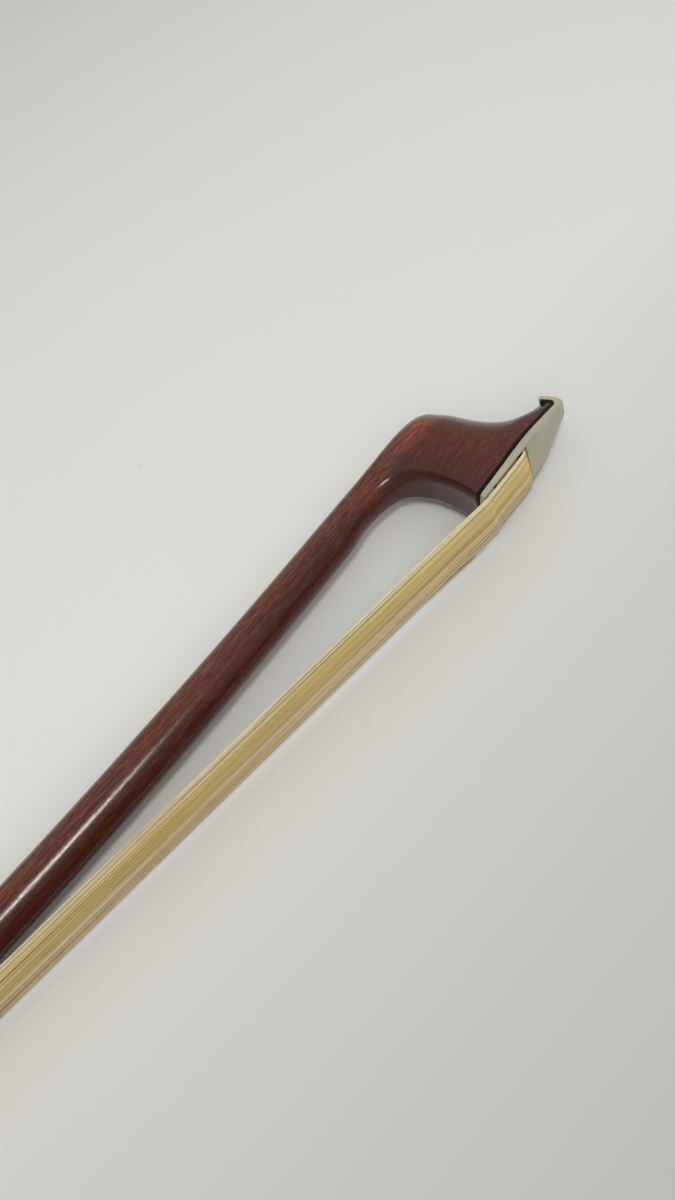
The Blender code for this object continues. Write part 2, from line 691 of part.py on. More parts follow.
def lining_pin_shapes(extra, top):
    """One pin at each end of the lining, driven into the frog."""
    foot = -HANDLE_FLAT - FIT - LINING_PIN_LENGTH - extra
    places = (FROG_BACK_X + 5.0, SHOULDER_X - 5.7)
    return [rod((x, 0.0, 0.0), 1, PIN_R + extra, foot, top, 12) for x in places]


frog = piece("frog", along_z(frog_profile(), FERRULE_HALF_W + 1.0), EBONY)
boolean(frog, "cheeks", along_x(
    cheek_outline(FROG_BOTTOM - 1.0, FROG_LAND + 1.0), FROG_BACK_X - 2.0, FROG_TIP_X + 2.0), "INTERSECT")
tongue = [(y, z) for y, z in d_outline(FERRULE_WALL + FIT) if y > TONGUE_BOTTOM - 0.1]
boolean(frog, "tongue", along_x(tongue, SHOULDER_X - 3.0, FERRULE_END - 0.6), "UNION")
boolean(frog, "stick_channel", along_x(
    channel_half(CHANNEL_FLAT) + [(2.0, CHANNEL_FLAT + 3.0), (2.0, -CHANNEL_FLAT - 3.0)],
    FROG_BACK_X - 2.5, FROG_TIP_X + 2.5))
slot_neck = SLOT_HALF_W - 0.45
slot_wide = SLOT_ROOF - 1.4
boolean(frog, "slide_slot", along_x([
    (FROG_BOTTOM - 1.0, -slot_neck), (FROG_BOTTOM - 1.0, slot_neck), (FROG_BOTTOM, slot_neck),
    (slot_wide, SLOT_HALF_W), (SLOT_ROOF, SLOT_HALF_W), (SLOT_ROOF, -SLOT_HALF_W),
    (slot_wide, -SLOT_HALF_W), (FROG_BOTTOM, -slot_neck)], SLIDE_START - FIT, SHOULDER_X + 1.0))
boolean(frog, "hair_mortise", box(
    FROG_MORTISE_START, FROG_MORTISE_END, FROG_BOTTOM + 1.5, FROG_MORTISE_TOP, FROG_MORTISE_HALF_W))
stem_top = -(HANDLE_FLAT - 0.9)
stem_foot = stem_top - STEM_LENGTH
stem_hole = rod((EYELET_X, 0.0, 0.0), 1, STEM_R + FIT, stem_foot - FIT, FROG_LAND)
boolean(frog, "stem_hole", stem_hole)
eye_seat = frog_half_width(EYE_Y) - EYE_DEPTH
boolean(frog, "eye_seats", join(
    rod((*EYE_AT, 0.0), 2, EYE_RING_R + FIT, -FERRULE_HALF_W - 2.0, -eye_seat, 32),
    rod((*EYE_AT, 0.0), 2, EYE_RING_R + FIT, eye_seat, FERRULE_HALF_W + 2.0, 32)))
boolean(frog, "pin_holes", join(*heel_pin_shapes(FIT, 1.0), *lining_pin_shapes(FIT, FROG_LAND - 1.0)))

# Lining of the channel, its pins and the eyelet
lining = channel_half(CHANNEL_FLAT - FIT) + channel_half(CHANNEL_FLAT - FIT - UNDERSLIDE_T)[::-1]
underslide = piece("underslide", along_x(lining, FROG_BACK_X + 0.6, FROG_TIP_X - 1.4), SILVER)
boolean(underslide, "underslide_holes", join(stem_hole, *lining_pin_shapes(FIT, FROG_LAND - 1.0)))
for number, shape in enumerate(lining_pin_shapes(0.0, -HANDLE_FLAT - FIT - 0.05), 1):
    piece(f"underslide_pin_{number}", shape, SILVER)


def eyelet_body():
    rings = []
    for y in (eyelet_top, stem_top):
        ring = []
        for c, s in circle(1.0, 16, math.pi / 8):
            reach = 1.0 / max(abs(c), abs(s))
            ring.append((EYELET_X + EYELET_HALF_LENGTH * reach * c, y, EYELET_HALF_W * reach * s))
        rings.append(ring)
    for y in (stem_top, stem_foot):
        rings.append([(EYELET_X + c, y, s) for c, s in circle(STEM_R, 16, math.pi / 8)])
    return loft(rings)


eyelet = piece("eyelet", eyelet_body(), BRASS)
boolean(eyelet, "eyelet_thread_hole", rod(
    (0.0, 0.0, 0.0), 0, BORE_R, EYELET_X - EYELET_HALF_LENGTH - 1.0, EYELET_X + EYELET_HALF_LENGTH + 1.0, 24))

# Silver on the heel
heel_back = piece("heel_plate_back", along_x(
    cheek_outline(FROG_BOTTOM + HEEL_PLATE_T + FIT, FROG_BOTTOM + HEEL_BACK_HEIGHT, 0.03),
    FROG_BACK_X, FROG_BACK_X + HEEL_PLATE_T), SILVER)
heel_under = piece("heel_plate_under", along_x(
    cheek_outline(FROG_BOTTOM, FROG_BOTTOM + HEEL_PLATE_T, 0.03),
    FROG_BACK_X, FROG_BACK_X + HEEL_UNDER_LENGTH), SILVER)
boolean(heel_back, "back_pin_holes", join(*heel_pin_shapes(FIT, 1.0)))
boolean(heel_under, "under_pin_holes", join(*heel_pin_shapes(FIT, 1.0)))
for number, shape in enumerate(heel_pin_shapes(0.0, -0.02), 1):
    piece(f"heel_pin_{number}", shape, SILVER)

# Pearl slide on its ebony tongue
pearl_half = slot_neck - FIT
backing_half = slot_neck + (SLOT_HALF_W - slot_neck) * (PEARL_T + FIT) / (slot_wide - FROG_BOTTOM) - FIT
piece("pearl_slide", along_x([
    (FROG_BOTTOM, -pearl_half), (FROG_BOTTOM, pearl_half), (FROG_BOTTOM + PEARL_T, pearl_half + 0.1),
    (FROG_BOTTOM + PEARL_T, -pearl_half - 0.1)], SLIDE_START, SHOULDER_X), PEARL)
piece("slide_backing", along_x([
    (BACKING_Y, -backing_half), (BACKING_Y, backing_half), (BACKING_Y + BACKING_T, backing_half + 0.1),
    (BACKING_Y + BACKING_T, -backing_half - 0.1)], SLIDE_START, SHOULDER_X), EBONY)


def ring_disc(z0, z1, r_out, r_in):
    rings = []
    for z, r in ((z0, r_out), (z1, r_out - 0.08), (z0, r_in), (z1, r_in)):
        rings.append([(EYE_AT[0] + c, EYE_AT[1] + s, z) for c, s in circle(r, 32)])
    return tube(rings[:2], rings[2:])


for side, sign in (("top", 1.0), ("under", -1.0)):
    low = sign * (eye_seat + FIT)
    high = sign * (eye_seat + EYE_DEPTH + 0.02)
    piece("eye_ring_" + side, ring_disc(low, high, EYE_RING_R, EYE_PEARL_R + FIT), SILVER)
    piece("eye_pearl_" + side, rod((*EYE_AT, 0.0), 2, EYE_PEARL_R, low, high, 32), PEARL)

# Ferrule and what locks the hair in the frog
piece("ferrule", tube(*[
    [[(x, y, z) for y, z in d_outline(inset)] for x in (FERRULE_START, FERRULE_END)]
    for inset in (0.0, FERRULE_WALL)]), SILVER)
wedge_end = FERRULE_END - 0.3
wedge_low = HAIR_Y + HAIR_T / 2 + FIT
wedge_top = wedge_low + WEDGE_T
piece("spreader_wedge", along_z([
    (wedge_end - WEDGE_LENGTH, wedge_low + 0.7), (wedge_end, wedge_low), (wedge_end, wedge_top),
    (wedge_end - WEDGE_LENGTH, wedge_top)], FERRULE_HALF_W - FERRULE_WALL - FIT * 2), PLUG)
frog_w = FROG_MORTISE_HALF_W - FIT
frog_hair_x = FROG_MORTISE_START + FIT * 2 + HAIR_T / 2
frog_knot_y = FROG_MORTISE_TOP - FIT - FROG_KNOT_HEIGHT
plug_x = (frog_hair_x + HAIR_T / 2 + FIT * 2, FROG_MORTISE_END - FIT)
plug_y = (SLOT_ROOF, frog_knot_y - FIT)
piece("frog_plug", along_z([
    (plug_x[0], plug_y[1]), (plug_x[0], plug_y[0] + 0.9), (plug_x[0] + 0.9, plug_y[0]),
    (plug_x[1], plug_y[0]), (plug_x[1], plug_y[1])], frog_w), PLUG)
piece("frog_hair_knot", knot(
    FROG_MORTISE_START + FIT, FROG_MORTISE_END - FIT, frog_knot_y, FROG_MORTISE_TOP - FIT, frog_w), BINDING, 50.0)


# Hair: one flat band of locks from knot to knot
def hair_ring(at, across, half_w, half_t):
    ring = []
    steps = HAIR_LOCKS * 2
    for side in (1, -1):
        for k in range(steps + 1):
            z = (k / steps * 2 - 1) * side
            edge = 1.0 - 0.55 * abs(z) ** 6
            t = half_t * edge * (1.0 if k % 2 else 0.78) * side
            ring.append((at[0] + across[0] * t, at[1] + across[1] * t, z * half_w))
    return ring


def hair_body():
    half_t = HAIR_T / 2
    slim = half_t * 0.9
    in_mortise = frog_w - 0.4
    path = [
        (frog_hair_x, frog_knot_y - FIT, in_mortise, half_t), (frog_hair_x, SLOT_HAIR_Y + 1.6, in_mortise, half_t),
        (frog_hair_x + 0.45, SLOT_HAIR_Y + 0.55, in_mortise, half_t),
        (frog_hair_x + 1.85, SLOT_HAIR_Y, in_mortise, slim), (FROG_MORTISE_END, SLOT_HAIR_Y, in_mortise + 0.4, slim),
        (SHOULDER_X - 2.0, SLOT_HAIR_Y, HAIR_HALF_W_FROG - 0.4, slim),
        (SHOULDER_X + 1.3, (SLOT_HAIR_Y + HAIR_Y) / 2 + 0.25, HAIR_HALF_W_FROG - 0.3, half_t),
        (SHOULDER_X + 4.5, HAIR_Y, HAIR_HALF_W_FROG - 0.2, half_t), (FERRULE_END, HAIR_Y, HAIR_HALF_W_FROG, half_t)]
    for share in (0.06, 0.35, 0.65, 0.88):
        width = HAIR_HALF_W_FROG + (HAIR_HALF_W_HEAD - HAIR_HALF_W_FROG) * share
        path.append((FERRULE_END + HAIR_SPAN * share, HAIR_Y, width, half_t))
    outside = -PLATE_T - FIT - half_t
    bend = head_hair_x - 0.45
    for x, y, w, t in (
            (-0.3, outside, HAIR_HALF_W_HEAD - 0.05, slim), (HEAD_MORTISE_START, outside, head_w + 0.8, slim),
            (bend - 1.7, outside + 0.28, head_w + 0.3, slim), (bend, outside + 1.05, head_w, slim),
            (head_hair_x, outside + 2.4, head_w - 0.1, half_t),
            (head_hair_x, head_knot_y - FIT, head_w - 0.2, half_t)):
        path.append((*head_to_bow(x, y), w, t))
    rings = []
    for i, (x, y, w, t) in enumerate(path):
        before = path[max(i - 1, 0)]
        after = path[min(i + 1, len(path) - 1)]
        d = Vector((after[0] - before[0], after[1] - before[1])).normalized()
        rings.append(hair_ring((x, y), (-d.y, d.x), w, t))
    return loft(rings)


piece("hair", hair_body(), HAIR, 60.0)

# Rest the whole bow on the ground plane, centred on the origin
low = Vector((1e9, 1e9, 1e9))
high = Vector((-1e9, -1e9, -1e9))
for obj in pieces:
    if obj is frog:
        continue
    for v in obj.data.vertices:
        for i in range(3):
            low[i] = min(low[i], v.co[i])
            high[i] = max(high[i], v.co[i])
bow_root.location = (-(low.x + high.x) / 2, -(low.y + high.y) / 2, -low.z)
bpy.context.view_layer.update()
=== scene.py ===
"""Looks of the viola bow: fine stick and head, face plate, hair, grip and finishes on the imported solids."""
import math

import bmesh
import bpy
import numpy as np
from mathutils import Matrix, Vector


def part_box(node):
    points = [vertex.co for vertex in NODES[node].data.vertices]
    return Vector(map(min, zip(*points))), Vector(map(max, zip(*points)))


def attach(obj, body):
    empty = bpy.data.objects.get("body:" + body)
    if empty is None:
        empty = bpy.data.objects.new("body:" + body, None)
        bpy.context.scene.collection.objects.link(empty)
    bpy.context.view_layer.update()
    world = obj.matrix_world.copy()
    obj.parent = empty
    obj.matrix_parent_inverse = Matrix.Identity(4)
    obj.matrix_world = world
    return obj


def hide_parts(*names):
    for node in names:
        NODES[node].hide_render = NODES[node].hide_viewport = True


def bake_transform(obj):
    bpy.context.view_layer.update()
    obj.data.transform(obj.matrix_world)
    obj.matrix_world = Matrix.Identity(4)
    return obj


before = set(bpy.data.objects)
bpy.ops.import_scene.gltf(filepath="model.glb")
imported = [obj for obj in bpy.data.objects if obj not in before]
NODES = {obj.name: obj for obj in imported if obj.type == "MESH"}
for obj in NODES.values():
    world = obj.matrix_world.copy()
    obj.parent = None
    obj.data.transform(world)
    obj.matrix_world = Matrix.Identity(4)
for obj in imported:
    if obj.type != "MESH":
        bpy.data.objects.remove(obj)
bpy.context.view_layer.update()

# Bow axes in millimetres: x from the button to the head, y away from the hair, z up
# from the middle plane. The ferrule's lowest corner fixes where they lie in the frame.
FERRULE_CORNER = np.array((59.8, -23.5, -6.5))
ORIGIN = np.array(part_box("ferrule")[0]) * 1000.0 - FERRULE_CORNER

# Stick, to the sizes of its solid
HANDLE_FLAT = 4.6
SHOULDER_R = 4.5
NECK_R = 3.98
HEAD_R = 3.70
NECK_LENGTH = 45.0
TAPER_X = 65.7
ROUND_FROM_X = 112.0
ROUND_BY_X = 135.0
BUTT_X = 14.0
BUTT_EDGE = 0.22
NIPPLE_X = 12.2
NIPPLE_R = 2.9
NIPPLE_END_R = 2.75
BORE_R = 1.9
TIP_BORE_R = 1.6
BORE_STEP_X = 56.0
BORE_END_X = 95.0
CAMBER_START_X = 125.0
CAMBER_PULL_HANDLE = 225.0
STICK_OVER_HAIR = 1.0

# Head and face: the face's heel, the tilt and height of the head, the curve of the face
HEAD_TILT = math.radians(9.4)
HEAD_COS = math.cos(HEAD_TILT)
HEAD_SIN = math.sin(HEAD_TILT)
HEAD_CENTRE = 21.0
HEAD_JOIN_X = -16.0
HEAD_X = 720.0
HEAD_Y = -20.85
FACE_LENGTH = 25.0
FACE_RISE = 1.3
HEEL_LIP = 0.8
NOSE_BEND_R = 1.35
NOSE_BEND_START = 0.35
NOSE_BEND_END = math.radians(102.0)
NOSE_HOOK = 1.9

# Slots through the face: start, end, half-width at the heel and at the tip
MORTISE = (3.2, 12.2, 4.0, 4.0)
PLATE_SLOT = (2.2, 12.15, 4.75, 4.50)
MORTISE_DEPTH = 8.05

# Eyelet's slot: x from and to, y from and to, half-width
EYELET_SLOT = (37.6, 53.5, -6.0, 3.05, 2.9)

# Along x: start and end
FERRULE = (59.8, 72.5)
LEATHER = (68.0, 92.0)
WINDING = (92.3, 157.9)

HAIR_Y = -22.3
HAIR_T = 0.6
FREE_HAIR = HEAD_X - FERRULE[1]

# Points round the stick, and steps between two rows of a smooth table
AROUND = 96
CURVE_STEPS = 6

rng = np.random.default_rng(7)


def to_frame(points):
    return (np.asarray(points, float).reshape(-1, 3) + ORIGIN) * 0.001


def head_to_bow(points):
    """Places measured along and up from the face's heel, in the bow's axes."""
    p = np.array(points, float)
    out = p.copy()
    out[..., 0] = HEAD_X + p[..., 0] * HEAD_COS - p[..., 1] * HEAD_SIN
    out[..., 1] = HEAD_Y + p[..., 0] * HEAD_SIN + p[..., 1] * HEAD_COS
    return out


def bow_to_head(points):
    """Distances along and up from the face's heel."""
    dx = points[:, 0] - HEAD_X
    dy = points[:, 1] - HEAD_Y
    return dx * HEAD_COS + dy * HEAD_SIN, dy * HEAD_COS - dx * HEAD_SIN


def unit(values):
    """Values held between 0 and 1."""
    return np.clip(values, 0.0, 1.0)


# Node trees

class Shader:
    """A material and short ways to add nodes to it."""

    def __init__(self, name):
        self.material = bpy.data.materials.new(name)
        self.material.use_nodes = True
        self.tree = self.material.node_tree
        self.main = self.tree.nodes["Principled BSDF"]

    def put(self, kind, inputs=(), out=0, **props):
        made = self.tree.nodes.new("ShaderNode" + kind)
        for key, value in props.items():
            setattr(made, key, value)
        for key, value in dict(inputs).items():
            self.set(made.inputs[key], value)
        return made.outputs[out]

    def set(self, socket, value):
        if isinstance(value, bpy.types.NodeSocket):
            self.tree.links.new(value, socket)
        else:
            socket.default_value = value

    def surface(self, **values):
        for key, value in values.items():
            self.set(self.main.inputs[key.replace("_", " ")], value)
        return self.material

    def scaled(self, vector, scale):
        return self.put("VectorMath", {0: vector, 1: scale}, operation="MULTIPLY")

    def noise(self, vector, scale, detail=2.0, rough=0.5, distortion=0.0):
        """Noise with its own scale along each axis."""
        return self.put("TexNoise", {"Vector": self.scaled(vector, scale), "Scale": 1.0,
                                     "Detail": detail, "Roughness": rough, "Distortion": distortion})

    def ramp(self, value, *stops):
        made = self.tree.nodes.new("ShaderNodeValToRGB")
        self.set(made.inputs[0], value)
        band = made.color_ramp.elements
        while len(band) < len(stops):
            band.new(0.5)
        for mark, (at, colour) in zip(band, stops):
            mark.position = at
            mark.color = (*colour, 1.0)
        return made.outputs[0]

    def level(self, value, low, high, to_low=0.0, to_high=1.0):
        return self.put("MapRange", {"Value": value, "From Min": low, "From Max": high,
                                     "To Min": to_low, "To Max": to_high})

    def mix(self, factor, a, b, blend="MIX"):
        made = self.tree.nodes.new("ShaderNodeMix")
        made.data_type = "RGBA"
        made.blend_type = blend
        self.set(made.inputs[0], factor)
        for socket, value in ((made.inputs[6], a), (made.inputs[7], b)):
            if isinstance(value, tuple) and len(value) == 3:
                value = (*value, 1.0)
            self.set(socket, value)
        return made.outputs[2]

    def tint(self, base, colour, value, low, high, most):
        """Lays a colour on, from none where value is low to its most where it is high."""
        return self.mix(self.level(value, low, high, 0.0, most), base, colour)

    def math(self, operation, a, b=0.0):
        return self.put("Math", {0: a, 1: b}, operation=operation)

    def bump(self, height, distance, strength=1.0, normal=None):
        inputs = {"Height": height, "Distance": distance, "Strength": strength}
        if normal is not None:
            inputs["Normal"] = normal
        return self.put("Bump", inputs)

    def rounded(self, radius):
        return self.put("Bevel", {"Radius": radius}, samples=6)

    def attribute(self, name, out=1):
        return self.put("Attribute", out=out, attribute_name=name)

    def object_mm(self):
        return self.scaled(self.put("TexCoord", out=3), (1000.0, 1000.0, 1000.0))


def wood_material():
    s = Shader("pernambuco")
    flow = s.attribute("flow")
    broad = s.noise(flow, (0.030, 0.30, 0.30), detail=3.0, rough=0.6)
    base = s.ramp(broad, (0.32, (0.100, 0.0175, 0.0094)), (0.50, (0.120, 0.0225, 0.0114)),
                  (0.68, (0.140, 0.0285, 0.0142)))
    bands = s.noise(flow, (0.12, 2.9, 2.9), detail=3.0, rough=0.6)
    base = s.tint(base, (0.150, 0.051, 0.032), bands, 0.49, 0.64, 0.75)
    base = s.tint(base, (0.038, 0.0080, 0.0060), bands, 0.50, 0.37, 0.60)
    pores = s.noise(flow, (0.26, 6.0, 6.0), rough=0.6)
    lines = s.level(pores, 0.57, 0.68)
    patch = s.level(s.noise(flow, (0.07, 0.6, 0.6)), 0.42, 0.62, 0.1, 0.7)
    base = s.mix(s.math("MULTIPLY", lines, patch), base, (0.285, 0.130, 0.082))
    dash = s.noise(flow, (0.38, 5.0, 5.0), rough=0.6)
    base = s.tint(base, (0.270, 0.105, 0.064), dash, 0.53, 0.64, 0.55)
    base = s.tint(base, (0.045, 0.0080, 0.0055), dash, 0.45, 0.34, 0.50)
    dots = s.noise(flow, (1.3, 4.2, 4.2), detail=1.0)
    base = s.tint(base, (0.36, 0.150, 0.075), dots, 0.71, 0.80, 0.55)
    fleck = s.noise(flow, (1.5, 3.4, 3.4), detail=3.0, rough=0.65)
    throat = s.attribute("fleck", out=2)
    flecked = s.math("MULTIPLY", throat, s.level(fleck, 0.48, 0.62, 0.0, 0.8))
    base = s.mix(flecked, base, (0.36, 0.070, 0.018))
    # Painted light: the head's sides turn a lighter red, as if more lit
    wear_and_painted_light = s.mix(1.0, base, (1.85, 1.55, 1.30), "MULTIPLY")
    base = s.mix(s.attribute("side", out=2), base, wear_and_painted_light)
    rim = s.attribute("rim", out=2)
    base = s.mix(s.math("MULTIPLY", rim, 0.45), base, (0.062, 0.0125, 0.0080))
    # Painted shade and floor reflection: the throat and its bevel turn a greyish mauve
    shade = s.attribute("shade", out=2)
    base = s.mix(s.math("MULTIPLY", shade, 0.48), base, (0.095, 0.0560, 0.0560))
    # Painted shade: the stick darkens on its side toward the hair
    under = s.put("SeparateXYZ", {0: flow}, out=1)
    base = s.tint(base, (0.036, 0.0050, 0.0040), under, 0.4, -2.4, 0.70)
    grain = s.bump(pores, 0.00003, 0.30)
    skin = s.noise(flow, (1.6, 4.0, 4.0), detail=3.0, rough=0.65)
    grain = s.bump(skin, 0.00002, 0.40, grain)
    rough = s.level(skin, 0.3, 0.7, 0.14, 0.27)
    gloss = s.level(rim, 0.0, 1.0, 0.5, 0.2)
    return s.surface(Base_Color=base, Roughness=rough, Normal=grain, Specular_IOR_Level=gloss)


def ebony_material(name="ebony", depth=1.0):
    """Near-black wood; a lower depth makes it darker and duller."""
    s = Shader(name)
    at = s.object_mm()
    lines = s.noise(at, (0.08, 2.2, 2.2), detail=4.0, rough=0.6)
    base = s.ramp(lines, (0.35, (0.0075, 0.0068, 0.0066)), (0.62, (0.016, 0.0135, 0.012)),
                  (0.78, (0.034, 0.023, 0.017)))
    rough = s.level(s.noise(at, (0.3, 1.2, 1.2), detail=3.0), 0.3, 0.7, 0.22, 0.38)
    base = s.mix(1.0, base, (depth, depth * 0.92, depth * 0.92), "MULTIPLY")
    normal = s.bump(lines, 0.00002, 0.35, s.rounded(0.00018))
    return s.surface(Base_Color=base, Roughness=rough, Normal=normal, Specular_IOR_Level=0.5 * depth)


def bone_material():
    s = Shader("bone")
    flow = s.attribute("flow")
    cloud = s.noise(flow, (0.10, 0.25, 0.25), detail=3.0)
    base = s.mix(s.level(cloud, 0.35, 0.65), (0.445, 0.452, 0.335), (0.530, 0.508, 0.362))
    lines = s.noise(flow, (0.10, 1.8, 2.4), detail=4.0, rough=0.6)
    base = s.tint(base, (0.40, 0.365, 0.24), lines, 0.52, 0.72, 0.30)
    warm = s.attribute("warm", out=2)
    base = s.mix(warm, base, (0.620, 0.520, 0.320))
    speck = s.noise(flow, (1.6, 3.2, 3.2))
    base = s.tint(base, (0.25, 0.21, 0.14), speck, 0.66, 0.76, 0.35)
    normal = s.bump(lines, 0.00003, 0.25)
    rough = s.level(cloud, 0.3, 0.7, 0.34, 0.46)
    return s.surface(Base_Color=base, Roughness=rough, Normal=normal, Subsurface_Weight=0.12,
                     Subsurface_Radius=(0.0012, 0.0010, 0.0007), Subsurface_Scale=0.6)


# Colours across the band of hair, from the side below to the side above
HAIR_TINTS = (
    (0.00, (0.78, 0.66, 0.40)), (0.05, (0.60, 0.44, 0.23)), (0.20, (0.66, 0.51, 0.30)),
    (0.30, (0.84, 0.72, 0.45)), (0.42, (0.54, 0.39, 0.12)), (0.55, (0.80, 0.60, 0.22)),
    (0.80, (0.86, 0.66, 0.25)), (0.93, (0.92, 0.82, 0.49)), (1.00, (0.92, 0.86, 0.62)),
)
HAIR_SHINE_THROUGH = 0.38


def hair_material():
    s = Shader("horsehair")
    across = s.attribute("across", out=2)
    base = s.ramp(across, *HAIR_TINTS)
    tone = s.attribute("tone", out=2)
    base = s.tint(base, (0.95, 0.88, 0.66), tone, 0.55, 1.0, 0.65)
    base = s.tint(base, (0.40, 0.27, 0.085), tone, 0.30, 0.0, 0.70)
    stray = s.attribute("stray", out=2)
    base = s.mix(stray, base, (0.20, 0.085, 0.040))
    flow = s.attribute("flow")
    along = s.noise(flow, (0.16, 3.0, 3.0), detail=3.0, rough=0.6)
    base = s.tint(base, (0.52, 0.37, 0.15), along, 0.45, 0.75, 0.35)
    scale = s.noise(flow, (6.0, 3.0, 3.0), detail=1.0)
    rough = s.level(scale, 0.3, 0.7, 0.38, 0.55)
    s.surface(Base_Color=base, Roughness=rough, Normal=s.bump(scale, 0.00001, 0.4))
    through = s.put("BsdfTranslucent", {"Color": base})
    both = s.put("MixShader", {0: HAIR_SHINE_THROUGH, 1: s.main.outputs[0], 2: through})
    s.set(s.tree.nodes["Material Output"].inputs[0], both)
    return s.material


def leather_material():
    s = Shader("leather")
    flow = s.attribute("flow")
    cell = s.put("TexVoronoi", {"Vector": flow, "Scale": 2.3}, feature="DISTANCE_TO_EDGE")
    fine = s.put("TexNoise", {"Vector": flow, "Scale": 6.0, "Detail": 3.0})
    height = s.math("ADD", s.level(cell, 0.0, 0.16), s.math("MULTIPLY", fine, 0.35))
    wear_and_painted_light = s.noise(flow, (0.12, 0.2, 0.2), detail=3.0)
    base = s.mix(s.level(wear_and_painted_light, 0.42, 0.70), (0.016, 0.010, 0.0075), (0.048, 0.028, 0.019))
    base = s.mix(s.level(cell, 0.0, 0.10, 0.5, 0.0), base, (0.006, 0.004, 0.003))
    rough = s.level(wear_and_painted_light, 0.35, 0.7, 0.62, 0.46)
    return s.surface(Base_Color=base, Roughness=rough, Normal=s.bump(height, 0.00007, 0.6))


def metal_material(name, colour, dull, rough):
    s = Shader(name)
    at = s.object_mm()
    cloud = s.noise(at, (0.10, 0.14, 0.14), detail=3.0)
    brushed = s.noise(at, (0.6, 9.0, 9.0))
    base = s.tint(colour, dull, cloud, 0.42, 0.80, 0.6)
    roughness = s.level(brushed, 0.3, 0.7, rough - 0.06, rough + 0.09)
    normal = s.bump(brushed, 0.000006, 0.4, s.rounded(0.00014))
    return s.surface(Base_Color=base, Metallic=1.0, Roughness=roughness, Normal=normal)


def pearl_material():
    s = Shader("pearl")
    at = s.object_mm()
    swirl = s.noise(at, (0.16, 0.30, 0.30), rough=0.45, distortion=1.1)
    base = s.ramp(swirl, (0.28, (0.40, 0.54, 0.52)), (0.42, (0.74, 0.74, 0.70)),
                  (0.52, (0.60, 0.66, 0.70)), (0.64, (0.80, 0.66, 0.68)), (0.80, (0.50, 0.62, 0.54)))
    rough = s.level(swirl, 0.3, 0.7, 0.16, 0.30)
    normal = s.bump(swirl, 0.00004, 0.25, s.rounded(0.0001))
    return s.surface(Base_Color=base, Roughness=rough, Normal=normal, Coat_Weight=0.4, Coat_Roughness=0.08)


def plug_material():
    s = Shader("maple")
    at = s.object_mm()
    lines = s.noise(at, (0.3, 2.6, 0.3), detail=4.0, rough=0.6)
    base = s.ramp(lines, (0.30, (0.36, 0.215, 0.105)), (0.55, (0.52, 0.345, 0.185)),
                  (0.75, (0.62, 0.44, 0.26)))
    return s.surface(Base_Color=base, Roughness=s.level(lines, 0.3, 0.7, 0.55, 0.72),
                     Normal=s.bump(lines, 0.00003, 0.4))


def thread_material():
    s = Shader("thread")
    flow = s.attribute("flow")
    ply = s.put("TexWave", {"Vector": flow, "Scale": 1.4, "Distortion": 1.0}, out=1, wave_type="BANDS",
                bands_direction="DIAGONAL")
    base = s.mix(ply, (0.115, 0.018, 0.014), (0.24, 0.045, 0.030))
    return s.surface(Base_Color=base, Roughness=s.level(ply, 0.0, 1.0, 0.65, 0.8),
                     Normal=s.bump(ply, 0.00005, 0.5))


WOOD = wood_material()
EBONY = ebony_material()
LINER = ebony_material("liner_ebony", 0.45)
BONE = bone_material()
HAIR = hair_material()
LEATHER_SKIN = leather_material()
SILVER = metal_material("silver", (0.78, 0.765, 0.735), (0.50, 0.475, 0.43), 0.24)
STEEL = metal_material("steel", (0.50, 0.505, 0.515), (0.30, 0.29, 0.28), 0.30)
BRASS = metal_material("brass", (0.66, 0.45, 0.17), (0.38, 0.245, 0.09), 0.32)
PEARL = pearl_material()
PLUG = plug_material()
THREAD = thread_material()


# Meshes

def new_object(name, data):
    obj = bpy.data.objects.new(name, data)
    bpy.context.scene.collection.objects.link(obj)
    return obj


def mesh_object(name, points, faces, material, sharp=35.0):
    mesh = bpy.data.meshes.new(name)
    mesh.from_pydata(to_frame(points).tolist(), [], faces)
    mesh.validate()
    obj = new_object(name, mesh)
    mesh.materials.append(material)
    turn_outward(mesh)
    smooth(mesh, sharp)
    return obj


def turn_outward(mesh):
    bm = bmesh.new()
    bm.from_mesh(mesh)
    bmesh.ops.recalc_face_normals(bm, faces=bm.faces)
    bm.to_mesh(mesh)
    bm.free()


def smooth(mesh, sharp):
    mesh.shade_smooth()
    mesh.set_sharp_from_angle(angle=math.radians(sharp))


def bow_points(obj):
    """An object's points in the bow's axes."""
    co = np.zeros(len(obj.data.vertices) * 3)
    obj.data.vertices.foreach_get("co", co)
    return co.reshape(-1, 3) * 1000.0 - ORIGIN


def store(obj, name, values):
    """Keeps a number or a vector for each point, for the finish to read."""
    values = np.asarray(values, np.float32)
    is_vector = values.ndim == 2
    made = obj.data.attributes.new(name, "FLOAT_VECTOR" if is_vector else "FLOAT", "POINT")
    made.data.foreach_set("vector" if is_vector else "value", values.ravel())


def grid_faces(rows, cols, closed_rows=False, first=0):
    """Quads between rings of a tube; the rings are closed round."""
    faces = []
    for r in range(rows if closed_rows else rows - 1):
        here = first + r * cols
        there = first + (r + 1) % rows * cols
        for k in range(cols):
            m = (k + 1) % cols
            faces.append((here + k, here + m, there + m, there + k))
    return faces


def tube_parts(rings, first=0):
    """Points and faces of a tube with both ends closed."""
    rings = np.asarray(rings, float)
    rows, cols = rings.shape[:2]
    faces = grid_faces(rows, cols, first=first)
    for end in (first, first + (rows - 1) * cols):
        faces.append(tuple(end + k for k in range(cols)))
    return rings.reshape(-1, 3), faces


def turns_of(steps):
    """Evenly spaced angles round a ring."""
    return np.arange(steps) * 2 * math.pi / steps


def block(x0, x1, y0, y1, half_width):
    outline = ((x0, y0), (x1, y0), (x1, y1), (x0, y1))
    return tube_parts([[(x, y, z) for x, y in outline] for z in (-half_width, half_width)])


